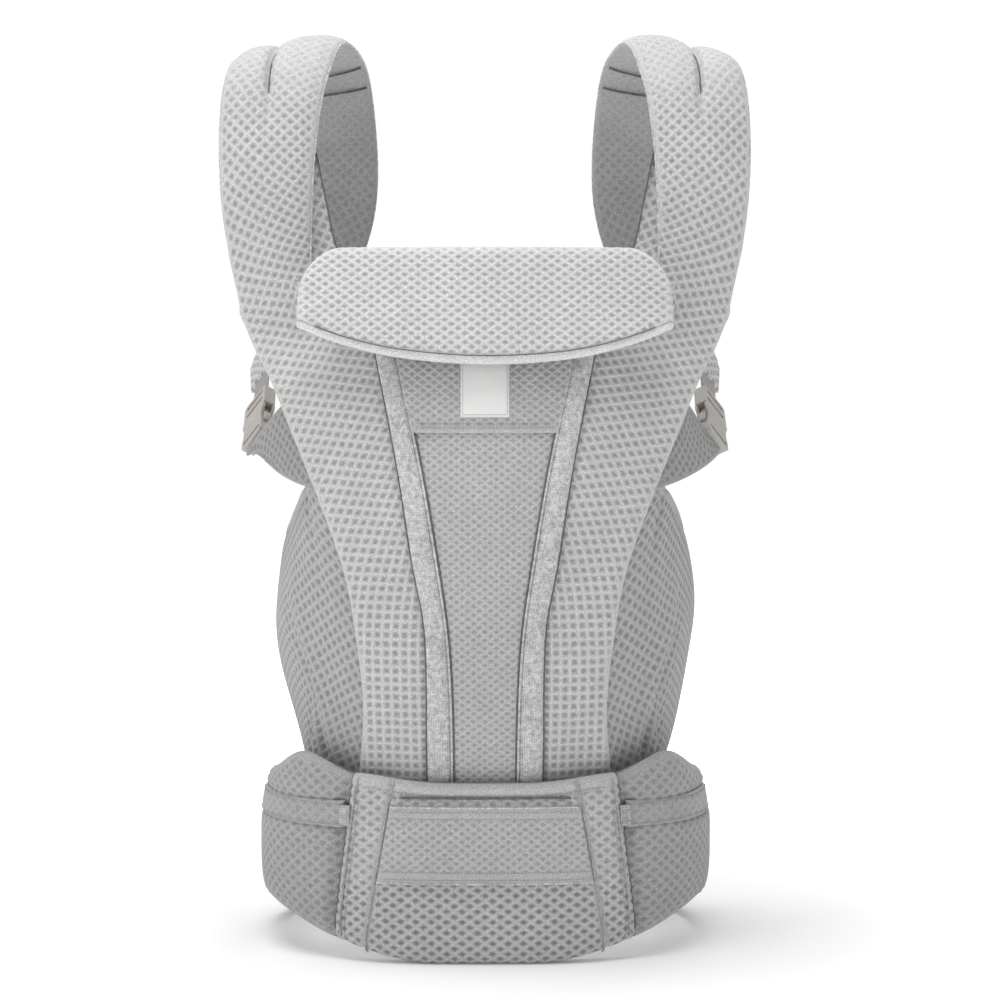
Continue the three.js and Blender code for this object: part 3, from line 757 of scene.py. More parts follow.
# ---- body panel
panel_depth = track([
    (140, -131), (200, -156), (260, -168), (330, -165), (400, -150), (460, -131), (540, -103),
])
flank_edge = track([
    (144, 98), (200, 94), (260, 100), (305, 109), (356, 128), (404, 149), (448, 168), (505, 191),
])
tunnel_edge = track([(144, 44), (257, 45), (313, 55), (381, 66), (460, 82), (540, 98)])
center_edge = track([(144, 25), (208, 26), (257, 29), (313, 37), (381, 49), (460, 66), (540, 82)])
lining_edge = track([
    (144, 82), (200, 79), (260, 85), (305, 94), (356, 113), (404, 132), (448, 150), (540, 120),
])
wing_reach = track([(144, 151), (181, 159), (232, 169), (264, 171), (306, 166), (335, 159), (400, 144)])
PANEL_CURVE = 0.0019
PANEL_LOW = 134.0  # the panel runs down behind the top of the waistband
PANEL_TOP = 540.0
SLIT_HEIGHT = 409.0
PANEL_CELL = (8.6, 6.4)


def panel(x, z, behind):
    return xyz(x, panel_depth(z) + PANEL_CURVE * np.asarray(x, float) ** 2 + behind, z)


def edge_round(a, power):
    return np.sqrt(np.clip(1 - np.abs(2 * a - 1) ** power, 0, 1))


def build_panel():
    a, b = grid(40, 60)
    z = lerp(PANEL_LOW + 6, PANEL_TOP, b)
    x = lerp(-1, 1, a) * lerp(lining_edge(z), tunnel_edge(z) + 8.0, ramp(z, 425, 470))
    front = panel(x, z, 5.8)
    back = panel(x, z, 8.4)
    soft_piece("panel_lining_cloth", front, back, np.stack([x, z], -1), [LINING], step=4.0, relief=0,
               flat=(270, 420), slot="lining_fabric", replaces=("panel_lining",))

    a, b = grid(20, 60)
    z = lerp(PANEL_LOW, SLIT_HEIGHT + 14, b)
    x = lerp(-1, 1, a) * (center_edge(z) + 1.5)
    front = panel(x, z, 0.4 - 1.6 * edge_round(a, 3))
    soft_piece("center_panel_mesh", front, panel(x, z, 2.6), lattice_uv(x, z, *PANEL_CELL), [MESH_CLOSE_SHADED],
               step=1.6, relief=0.35, flat=(80, 300), replaces=("center_panel",))

    a, b = grid(30, 26)
    z = lerp(SLIT_HEIGHT, PANEL_TOP, b)
    x = lerp(-1, 1, a) * (center_edge(z) + 1.0)
    front = panel(x, z, -2.6 - 1.4 * edge_round(a, 3) * ramp(b, -0.05, 0.12))
    back = panel(x, z, -0.7)

    def hem(marks, height, openness):
        low = marks["z"] - SLIT_HEIGHT
        height = height + 0.5 * bell(low, 2.6, 2.2) - 0.7 * bell(low, 5.6, 0.9)
        return height, openness * ramp(low, 4.5, 6.5)

    soft_piece("pocket_yoke_mesh", front, back, lattice_uv(x, z, *PANEL_CELL), [MESH_CLOSE_SHADED], step=1.6,
               relief=0.35, detail=hem, marks={"z": z}, flat=(160, 131), replaces=("pocket_yoke",))
    for offset, name in ((3.9, "yoke_stitch_low"), (7.0, "yoke_stitch_high")):
        width = center_edge(SLIT_HEIGHT) - 2
        at = np.linspace(-width, width, 60)
        stitches(name, [panel(at, SLIT_HEIGHT + offset, -4.2)])

    a, b = grid(24, 28)
    z = lerp(421.0, 469.0, b)
    x = lerp(-1, 1, a) * 18.6
    puff = edge_round(a, 8) * edge_round(b, 8)
    front = panel(x, z, -4.9 - 0.55 * puff)
    soft_piece("label_tag_cloth", front, panel(x, z, -4.3), np.stack([x, z], -1), [LABEL], step=1.2,
               relief=0, flat=(37, 48), slot="label_fabric", replaces=("label_tag",))
    ring = np.array([[-17, 423], [17, 423], [17, 467], [-17, 467], [-17, 423]], float)
    border = [panel(np.linspace(p[0], q[0], 12), np.linspace(p[1], q[1], 12), -5.5)
              for p, q in zip(ring[:-1], ring[1:])]
    stitches("label_stitches", border, pitch=2.2, length=1.5, radius=0.22, slot="label_fabric")

    for side, sign in SIDES:
        a, b = grid(10, 76)
        z = lerp(PANEL_LOW, PANEL_TOP, b)
        x = sign * lerp(center_edge(z) + 0.2, tunnel_edge(z) + 1.8, a)
        front = panel(x, z, 1.0 - 5.0 * edge_round(a, 2.4))
        uv = np.stack([np.abs(x) - center_edge(z), z], -1)

        def pucker(marks, height, openness):
            ripple = 0.28 * np.sin(marks["z"] * 0.9) * bell(marks["a"], 0.1, 0.16)
            slow = 0.35 * np.sin(marks["z"] * 0.071) * np.sin(math.pi * marks["a"])
            return height + ripple + slow, openness

        soft_piece("tunnel_strip_knit_" + side, front, panel(x, z, 2.4), uv, [KNIT], step=1.7, relief=0,
                   detail=pucker, marks={"z": z, "a": a}, flat=(24, 410), slot="smooth_knit",
                   replaces=("tunnel_strip_" + side,))
        zz = np.linspace(PANEL_LOW, 470, 120)
        inner_line = panel(sign * (center_edge(zz) + 0.4), zz, -1.7)
        shadow_line = panel(sign * (center_edge(zz) - 1.3), zz, -0.8)
        outer_line = panel(sign * (tunnel_edge(zz) + 1.0), zz, -0.7)
        piping("tunnel_piping_" + side, [inner_line], 0.95, BINDING)
        # painted shadow: dark tubes at the tunnel strip's inner fold and its outer gap, where shade falls
        piping("tunnel_seam_shadow_" + side, [shadow_line, outer_line], 0.8, PAINTED_SEAM_SHADOW)
        dots = panel(sign * (center_edge(zz) + 3.4), zz, -2.9)
        stitches("tunnel_stitches_" + side, [dots], pitch=3.2, length=1.7, radius=0.3)


# ---- shoulder straps and flanks
STRAP_ROUTE = [
    (166, -61, 512), (172, -55, 565), (173, -48, 635), (167, -26, 692), (153, 18, 719), (140, 66, 704),
    (134, 107, 658), (133, 122, 614), (137, 123, 586), (145, 122, 561), (156, 118, 538), (168, 110, 517),
    (179, 95, 494.5), (184, 77.7, 479.3), (185, 60.8, 465.2), (185, 44, 451),
]
STRAP_FACING = [
    (0, 0.3, -0.95, 0), (0.12, 0.12, -1, 0), (0.27, 0.05, -1, 0.15), (0.42, 0.12, 0.05, 1),
    (0.56, 0.05, 0.9, 0.45), (0.66, 0, 1, 0), (0.76, 0.1, 1, 0), (0.87, 0.75, 0.65, 0.1),
    (0.955, 0.8, -0.55, 0.2), (1, 0.8, -0.55, 0.2),
]
strap_width = track([(0, 62), (0.15, 73), (0.3, 79), (0.7, 79), (0.85, 66), (1, 40)])
STRAP_HALF = 8.5


def strap_facing(share):
    keys = np.array(STRAP_FACING, float)
    i = np.clip(np.searchsorted(keys[:, 0], share, side="right") - 1, 0, len(keys) - 2)
    t = ramp(np.clip((share - keys[i, 0]) / (keys[i + 1, 0] - keys[i, 0]), 0, 1), 0, 1)[:, None]
    return unit(keys[i, 1:] * (1 - t) + keys[i + 1, 1:] * t)


STRAP_FOOT = 512.0  # height at which a flank has become its strap
FLANK_HIGH = 505.0
FINE_ROWS = 160
LINING_SEAMS = (0.478, 0.522)  # shares of the strap's length


class Strap:
    """The right shoulder strap's middle line, with directions outwards from the body and off its face."""

    def __init__(self, rows):
        line = catmull_rom(STRAP_ROUTE)
        self.length = along(line)[-1]
        self.share = np.linspace(0, 1, rows)
        self.run = self.share * self.length
        self.line = walk(line, self.run)
        self.tangent = unit(np.gradient(self.line, axis=0))
        facing = strap_facing(self.share)
        lean = np.sum(facing * self.tangent, -1, keepdims=True)
        self.normal = unit(facing - lean * self.tangent)
        self.side = np.cross(self.tangent, self.normal)
        self.side *= np.sign(self.side[0, 0])
        self.width = strap_width(self.share)

    def point(self, a, lift):
        """Points across the strap, with a from 0 at its inner edge to 1 at its outer, off its middle."""
        across = ((a - 0.5) * self.width)[..., None]
        return self.line + self.side * across + self.normal * np.asarray(lift, float)[..., None]


def mirror(points, sign):
    return points * np.array([sign, 1, 1])


FLANK_ROWS = 70
STRAP_ROWS = 112
COLUMNS = 23  # points across a flank and its strap


def crease_depth(run):
    return ramp(run, 120, 190) * (1 - ramp(run, 300, 420))


def crease_place(run):
    """Where the crease runs across the strap: it leans outwards as it climbs to the top."""
    return 0.505 + 0.17 * ramp(run, 140, 250)


def strap_lifts(a, run, length):
    """Height of a strap's outer and inner face off its middle surface."""
    share = run / length
    half = 1.5 + (STRAP_HALF - 2.2) * edge_round(a, 2.6)
    half = half * (0.5 + 0.5 * ramp(run, 0, 70)) * (1 - 0.5 * ramp(share, 0.9, 1.0))
    crown = 3.0 * (1 - (2 * a - 1) ** 2) * ramp(run, 5, 110) * (1 - ramp(share, 0.8, 0.95))
    deep = crease_depth(run)
    place = crease_place(run)
    groove = deep * (4.6 * bell(a, place, 0.035) + 3.8 * bell(a, place, 0.15))
    return half + crown - 1.2 - groove, crown - half - 1.2


def flank_rows(columns):
    """Front and back of a flank, which runs up into the strap in one piece."""
    strap = Strap(FINE_ROWS)
    base_in, base_out = (strap.line[0] + way * strap.side[0] * strap.width[0] / 2 for way in (-1, 1))
    normal = strap.normal[0]
    a, b = grid(columns, FLANK_ROWS)
    z = lerp(PANEL_LOW, STRAP_FOOT, b)
    low = np.minimum(z, FLANK_HIGH)
    inner = lerp(tunnel_edge(low) - 0.5, base_in[0], ramp(z, 492, STRAP_FOOT))
    outer = flank_edge(low) + (base_out[0] - flank_edge(FLANK_HIGH)) * ramp(z, 470, STRAP_FOOT)
    outer = outer + 4.4 * bell(z, 475, 19)
    x = lerp(inner, outer, a)
    flat = panel(x, z, 0.0)
    roll = np.clip((a - 0.9) / 0.1, 0, 1) ** 2
    flat[..., 1] += 3.4 * roll + 0.9 * (1 - edge_round(a, 5))
    up, down = strap_lifts(a, np.zeros_like(a), strap.length)
    lift = (lerp(base_in[2], base_out[2], a) - STRAP_FOOT) * ramp(z, 460, STRAP_FOOT)
    row = xyz(x, lerp(base_in[1], base_out[1], a), z + lift)
    blend = (ramp(z, 440, STRAP_FOOT) * ramp(x, 116, 140))[..., None]
    front = flat * (1 - blend) + (row + normal * up[..., None]) * blend
    behind = unit(np.array([0.0, 1.0, 0.0]) * (1 - blend) - normal * blend)
    thick = 3.0 * (0.35 + 0.65 * edge_round(a, 3)) * (1 - blend[..., 0]) + (up - down) * blend[..., 0]
    back = front + behind * thick[..., None]
    return a, z, front, back, outer - inner


def flow_uv(front, turn, depth, shear=0.0):
    """Lattice coordinates that follow a long piece's rows, turned in the cloth by an angle for each row.

    depth is how much each row's front to back slope counts. Where it is low the cloth is stretched that way.
    shear is how far the lattice slides sideways for each step onwards, as in cloth pulled on the bias.
    """
    scale = np.stack([np.ones_like(depth), depth, np.ones_like(depth)], -1)
    steps = np.diff(front[front.shape[0] // 2], axis=0) * scale[1:]
    rows = unit((front[-1] - front[0]) * scale)[1:]
    sideways = np.sum(steps * rows, -1, keepdims=True)
    forward = np.sqrt(np.maximum(np.sum(steps**2, -1, keepdims=True) - sideways**2, 0))
    angle = np.radians(turn)
    across = np.stack([np.cos(angle), np.sin(angle)], -1)
    onward = np.stack([-np.sin(angle), np.cos(angle)], -1)
    sideways = sideways + (np.zeros_like(turn) + shear)[1:, None] * forward
    path = np.concatenate([[[0, 0]], np.cumsum(across[1:] * sideways + onward[1:] * forward, 0)])
    gaps = np.linalg.norm(np.diff(front, axis=0) * scale[None], axis=-1)
    offset = np.concatenate([np.zeros((1, front.shape[1])), np.cumsum(gaps, 0)])
    offset = offset - offset[front.shape[0] // 2]
    flat = path[None] + offset[..., None] * across[None]
    return lattice_uv(flat[..., 0], flat[..., 1], 9.9, 9.9, 45)


def build_straps():
    flank_a, flank_z, flank_front, flank_back, flank_width = flank_rows(COLUMNS)
    coarse = Strap(STRAP_ROWS)
    a = grid(COLUMNS, STRAP_ROWS)[0]
    run = np.broadcast_to(coarse.run, a.shape)
    up, down = strap_lifts(a, run, coarse.length)
    base = coarse.line[None] + coarse.side[None] * ((a - 0.5) * coarse.width[None])[..., None]
    front = np.concatenate([flank_front, (base + coarse.normal[None] * up[..., None])[:, 1:]], 1)
    back = np.concatenate([flank_back, (base + coarse.normal[None] * down[..., None])[:, 1:]], 1)
    a = np.concatenate([flank_a, a[:, 1:]], 1)
    run = np.concatenate([flank_z - STRAP_FOOT, run[:, 1:]], 1)
    width = np.concatenate([flank_width, np.broadcast_to(coarse.width, (COLUMNS, STRAP_ROWS))[:, 1:]], 1)
    turn = -5 * ramp(run[0], -250, -100) - 37 * ramp(run[0], -70, 150)
    shear = 0.36 * ramp(run[0], -290, -130) * (1 - ramp(run[0], -30, 110))
    uv = flow_uv(front, turn, lerp(0.3, 1.0, ramp(run[0], 0, 60)), shear)
    deep = crease_depth(run)
    pins = (run < -25) | ((np.abs(a - crease_place(run)) < 0.03) & (deep > 0.5))
    for side, sign in SIDES:

        def folds(marks, height, openness):
            a, run, deep = marks["a"], marks["run"], marks["deep"]
            outer = (1 - a) * marks["width"]
            inner = a * marks["width"]
            above = ramp(run, 10, 60)
            place = crease_place(run)
            height = height - 3.4 * deep * bell(a, place, 0.02)
            height = height - 0.7 * bell(outer, 5.2, 1.0) * (1 - above)
            height = height - 0.9 * bell(inner, 5.5, 1.2) * above
            height = height - 1.2 * bell(a, 0.03, 0.06) * (1 - above)
            height = height + 0.8 * np.sin(run * 0.04 + sign) * np.sin(math.pi * a) * (1 - above)
            height = height + 0.5 * np.sin(run * 0.055 + sign) * np.sin(2 * math.pi * a) * above
            height = height + 0.4 * np.sin(run * 0.13 + 2 * sign) * bell(a, 0.9, 0.2) * above
            edge = np.minimum(outer, lerp(9, inner, above))
            seam = 1 - 0.9 * deep * bell(a, place, 0.02)
            fleece = 1 - 0.62 * ramp(run, 130, 200) * (1 - ramp(run, 300, 400))
            return height, openness * ramp(edge, 1.0, 3.5) * seam * fleece

        marks = {"a": a, "run": run, "width": width, "deep": deep}
        replaced = ["shoulder_strap_%s_%s" % (part, side) for part in ("cover", "lining", "foam")]
        soft_piece("shoulder_strap_and_flank_" + side, mirror(front, sign), mirror(back, sign), uv,
                   [MESH, LINING_MESH], step=1.75, relief=0.55, detail=folds, marks=marks, pins=pins,
                   pressure=3.0, cap=4.0, fill=0.55, replaces=replaced + ["side_flank_" + side])

    fine = Strap(FINE_ROWS)
    deep = crease_depth(fine.run)
    folded = deep > 0.55
    place = crease_place(fine.run)
    bottom = strap_lifts(place, fine.run, fine.length)[0] - 0.9 * deep - 1.8 * (1 - ramp(deep, 0.55, 0.95))
    for side, sign in SIDES:
        crease = fine.point(place, bottom)[folded]
        # painted shadow: a dark tube along the bottom of the strap's crease
        piping("shoulder_strap_crease_shadow_" + side, [mirror(crease, sign)], 0.6, PAINTED_SEAM_SHADOW)
        shown = slice(6, FINE_ROWS - 2)
        inner = fine.point(0.0, -0.9) - fine.side * 0.4
        piping("shoulder_strap_binding_" + side, [mirror(inner[shown], sign)], 0.85, BINDING)
        proud = lerp(-1.4, 0.2, ramp(fine.run, 20, 90))[:, None]
        outer = fine.point(1.0, -1.2) + fine.side * proud
        piping("shoulder_strap_edge_" + side, [mirror(outer[shown], sign)], 0.95, BINDING)
        cross = []
        for share in LINING_SEAMS:
            row = int(share * (FINE_ROWS - 1))
            at = np.linspace(0.03, 0.97, 30)
            depth = strap_lifts(at, fine.run[row], fine.length)[1]
            span = fine.line[row] + fine.side[row] * ((at - 0.5) * fine.width[row])[:, None]
            under = depth - 0.6 - 1.8 * np.sin(math.pi * at)
            cross.append(mirror(span + fine.normal[row] * under[:, None], sign))
        # painted shadow: dark tubes across the strap's lining where its seams sink
        piping("strap_lining_seam_shadows_" + side, cross, 0.9, PAINTED_SEAM_SHADOW, sides=6, slot="lining_fabric")
        build_gusset(side, sign)


def build_gusset(side, sign):
    """A narrow pale triangle that joins a strap's inner edge to the top of the panel."""
    low, high = 500.0, 631.0
    left = track([(500, 150), (528, 150), (555, 146.5), (590, 141.5), (631, 135)])
    right = track([(500, 94), (528, 105), (555, 118), (590, 126), (631, 134)])
    left_depth = track([(500, -70), (528, -68), (555, -62), (590, -55), (631, -50)])
    right_depth = track([(500, -86), (528, -70), (555, -55), (590, -50), (631, -50)])
    a, b = grid(10, 36)
    z = lerp(low, high, b)
    x = lerp(left(z), right(z), a)
    depth = lerp(left_depth(z), right_depth(z), a) + 3.0 * np.sin(math.pi * a) * ramp(b, 0, 0.3)
    front = mirror(xyz(x, depth, z), sign)
    back = mirror(xyz(x, depth + 2.2, z), sign)
    uv = lattice_uv(x, z, 10.0, 10.0, 20)
    soft_piece("shoulder_strap_gusset_" + side, front, back, uv, [MESH], step=1.7, relief=0.35,
               flat=(56, 135))
    zz = np.linspace(low + 4, high - 2, 50)
    line = mirror(xyz(right(zz), right_depth(zz) - 0.2, zz), sign)
    # painted shadow: a dark tube along the gusset's seam with the strap
    piping("strap_gusset_seam_shadow_" + side, [line], 0.7, PAINTED_SEAM_SHADOW)


# ---- seat wings
wing_top = track([(0, 378), (0.2, 369), (0.35, 360), (0.5, 348), (0.75, 328), (1, 316)])


def wing_point(a, b):
    z = lerp(140.0, wing_top(a), b)
    near = flank_edge(z) - 11
    reach = wing_reach(z) + 4.0 * bell(z, 255, 70)
    p0 = panel(near, z, 6.4)
    p1 = p0 + xyz(0.38 * (reach - near) + 20, 26, 0)
    p2 = xyz(reach + 9, -22, z)
    p3 = xyz(reach - 7, 66, z)
    t = a[..., None]
    return p0 * (1 - t) ** 3 + 3 * p1 * t * (1 - t) ** 2 + 3 * p2 * t * t * (1 - t) + p3 * t**3


def build_wings():
    a, b = grid(44, 40)
    point = wing_point(a, b)
    normal = grid_normals(point)
    if normal[10, 20, 0] < 0:
        normal = -normal
    thick = 1.2 + 2.6 * edge_round(a, 6) * edge_round(b, 6)
    span = np.linalg.norm(np.diff(point, axis=0), axis=-1)
    run = np.concatenate([np.zeros((1, b.shape[1])), np.cumsum(span, 0)])
    uv = lattice_uv(run, point[..., 2], 10.6, 10.6, 45 + 27)
    for side, sign in SIDES:

        def folds(marks, height, openness):
            a, b = marks["a"], marks["b"]
            lean = a - 0.22 - 0.3 * b
            height = height + 3.6 * bell(lean, 0, 0.05) * (1 - ramp(b, 0.4, 0.9))
            height = height - 3.6 * bell(lean, 0.08, 0.035) * (1 - ramp(b, 0.35, 0.85))
            height = height + 2.8 * bell(a - 0.42 + 0.2 * b, 0, 0.05) * (1 - ramp(b, 0.15, 0.6))
            height = height - 3.0 * bell(a - 0.5 + 0.3 * b, 0, 0.03) * (1 - ramp(b, 0.1, 0.4))
            height = height - 2.2 * bell(a - 0.14 - 0.12 * b, 0, 0.03) * ramp(b, 0.3, 0.9)
            height = height + 1.2 * np.sin(9 * b + 7 * a + sign) * edge_round(a, 4)
            edge = np.minimum((1 - b) * 190, (1 - a) * 150)
            height = height + 0.5 * bell(edge, 2.5, 2.0) - 0.8 * bell(edge, 6.5, 1.1)
            return height, openness * ramp(edge, 4.0, 7.0)

        front = mirror(point + normal * thick[..., None] * 0.5, sign)
        back = mirror(point - normal * thick[..., None] * 0.5, sign)
        soft_piece("seat_wing_mesh_" + side, front, back, uv, [MESH_WING_SHADED], step=1.8, relief=0.5, detail=folds,
                   marks={"a": a, "b": b}, pressure=1.2, cap=3.0, flat=(200, 220),
                   replaces=("seat_wing_" + side,))


# ---- head support
HEAD_REACH = 145.0
HEAD_HIGH = 551.0
HEAD_CORNER = 36.0


def head_top(x):
    over = np.clip((np.abs(x) - (HEAD_REACH - HEAD_CORNER)) / HEAD_CORNER, 0, 1)
    return HEAD_HIGH - 43.0 * (1 - np.sqrt(np.clip(1 - over**2, 0, 1)))


head_bottom = track([(-145, 490), (-111, 477), (-65, 466.5), (0, 461.5), (65, 465.5), (111, 476), (145, 489)])


def head_middle(x, z):
    return xyz(x, -149 + 0.25 * (z - 460) + 0.0011 * x * x, z)


def build_head_support():
    a, b = grid(61, 19)
    x = HEAD_REACH * np.sin(math.pi / 2 * (1 - 2 * a) * 0.999) * 0.65 + HEAD_REACH * (1 - 2 * a) * 0.35
    top, low = head_top(x), head_bottom(x)
    z = lerp(top, low, b)
    profile = edge_round(a, 7) * edge_round(b, 4.5)
    middle = head_middle(x, z)
    tilt = unit(np.array([0.0, -1.0, 0.25]))
    front = middle + tilt * (1.4 + 6.6 * profile)[..., None]
    back = middle - tilt * (1.4 + 6.2 * profile)[..., None]
    uv = lattice_uv(x, z, 10.2, 6.9)

    def hem(marks, height, openness):
        up = marks["up"]
        height = height - 2.0 * bell(up, 4.8, 0.8) + 0.8 * bell(up, 2.0, 1.8)
        height = height + 0.35 * np.sin(marks["x"] * 0.045) * edge_round(marks["b"], 2)
        near = np.minimum((HEAD_REACH - np.abs(marks["x"])), marks["down"])
        return height, openness * ramp(up, 4.8, 6.4) * lerp(0.5, 1.0, ramp(near, 0.5, 8.0))

    marks = {"up": z - low, "down": top - z, "x": x, "b": b}
    soft_piece("head_support_pillow", front, back, uv, [MESH_HEAD_LIT, LINING_MESH], step=1.6, relief=0.5,
               detail=hem, marks=marks, pressure=3.4, cap=5.0, fill=0.6, body="head_support",
               replaces=("head_support_front_cover", "head_support_back_cover", "head_support_foam"))
    xs = np.linspace(-143.5, 143.5, 160)
    low = head_middle(xs, head_bottom(xs) + 1.0) + tilt * 0.6
    piping("head_support_hem", [low], 1.2, BINDING, sides=10, body="head_support")
    xs = np.linspace(-131, 131, 140)
    seam = head_middle(xs, head_bottom(xs) + 4.9) + tilt * 6.0
    # painted shadow: a thin dark tube along the pillow's hem seam
    piping("head_support_hem_seam_shadow", [seam], 0.45, PAINTED_SEAM_SHADOW, sides=6, body="head_support")

    a, b = grid(40, 12)
    xs = lerp(-84, 84, a)
    start_z, end_z = 535.0, 548.0
    z = lerp(start_z, end_z, b)
    front_y = lerp(panel_depth(535.0) + PANEL_CURVE * xs**2 - 5.2, -149 + 0.25 * 88 + 0.0011 * xs**2 + 6.5, b)
    front = xyz(xs, front_y - 0.6, z)
    back = xyz(xs, front_y + 0.6, z)
    strip = closed_sheet("head_support_hinge_cloth", front, back, np.stack([xs, z], -1), [KNIT],
                         slot="smooth_knit", body=None)
    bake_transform(strip)


# ---- waistband
BAND_HALF_WIDTH = 183.0
BAND_CENTER_Y = -21.0
BAND_FRONT = 129.0
BAND_BACK = 193.0
BAND_POWER = 2 / 2.5
WING_ANGLE = 115.0
WEBBING_INSET = 11.0
BELT_HEIGHT = 50.0


def oval(degrees, z, inset=0.0):
    angle = np.radians(np.asarray(degrees, float))
    s, c = np.sin(angle), np.cos(angle)
    depth = np.where(c > 0, BAND_FRONT, BAND_BACK)
    x = np.sign(s) * (BAND_HALF_WIDTH - inset) * np.abs(s) ** BAND_POWER
    y = BAND_CENTER_Y - np.sign(c) * (depth - inset) * np.abs(c) ** BAND_POWER
    return xyz(x, y, z)


band_low = track([
    (0, 0), (12, 0), (25, 7), (40, 16), (60, 29), (75, 34), (90, 28), (100, 16), (110, 4), (115, 0),
])
band_high = track([(0, 138), (28, 140), (40, 148), (50, 152), (60, 147), (72, 138), (90, 128), (115, 96)])


def band_bottom(degrees):
    return band_low(np.abs(degrees))


def band_top(degrees):
    return band_high(np.abs(degrees))


def front_rise(degrees):
    """The front's top edge is lower in the middle and climbs towards its piped seams."""
    return 1.5 + 6.5 * ramp(np.abs(degrees), 6, 30)


run_degrees = np.linspace(0, WING_ANGLE, 400)
run_lengths = along(oval(run_degrees, 0.0, 4.0))


def band_run(degrees):
    """Length round the band from the front centre."""
    degrees = np.asarray(degrees, float)
    return np.sign(degrees) * np.interp(np.abs(degrees), run_degrees, run_lengths)


def front_edge(share):
    """Angle of the front's side seam, from the bottom at 0 to the top at 1."""
    return lerp(37.2, 29.6, share**0.8)


def piped_seam(z, low, high):
    """Distance from the middle to a sloping piped seam, given at the floor and at the top edge."""
    return lerp(low, high, np.clip(z / 140, 0, 1))


INNER_SEAM = (96.0, 71.5)
OUTER_SEAM = (117.0, 99.5)


FRONT_HALF = 7.75  # half the thickness of the padded front
EDGE_HALF = 1.2  # half the thickness of its edges


def front_tuck(degrees, share):
    """How far the lower edge of the front draws in towards its side seams."""
    return 5.0 * (1 - edge_round(share, 3.2)) * (share < 0.5) * ramp(np.abs(degrees), 20, 36)


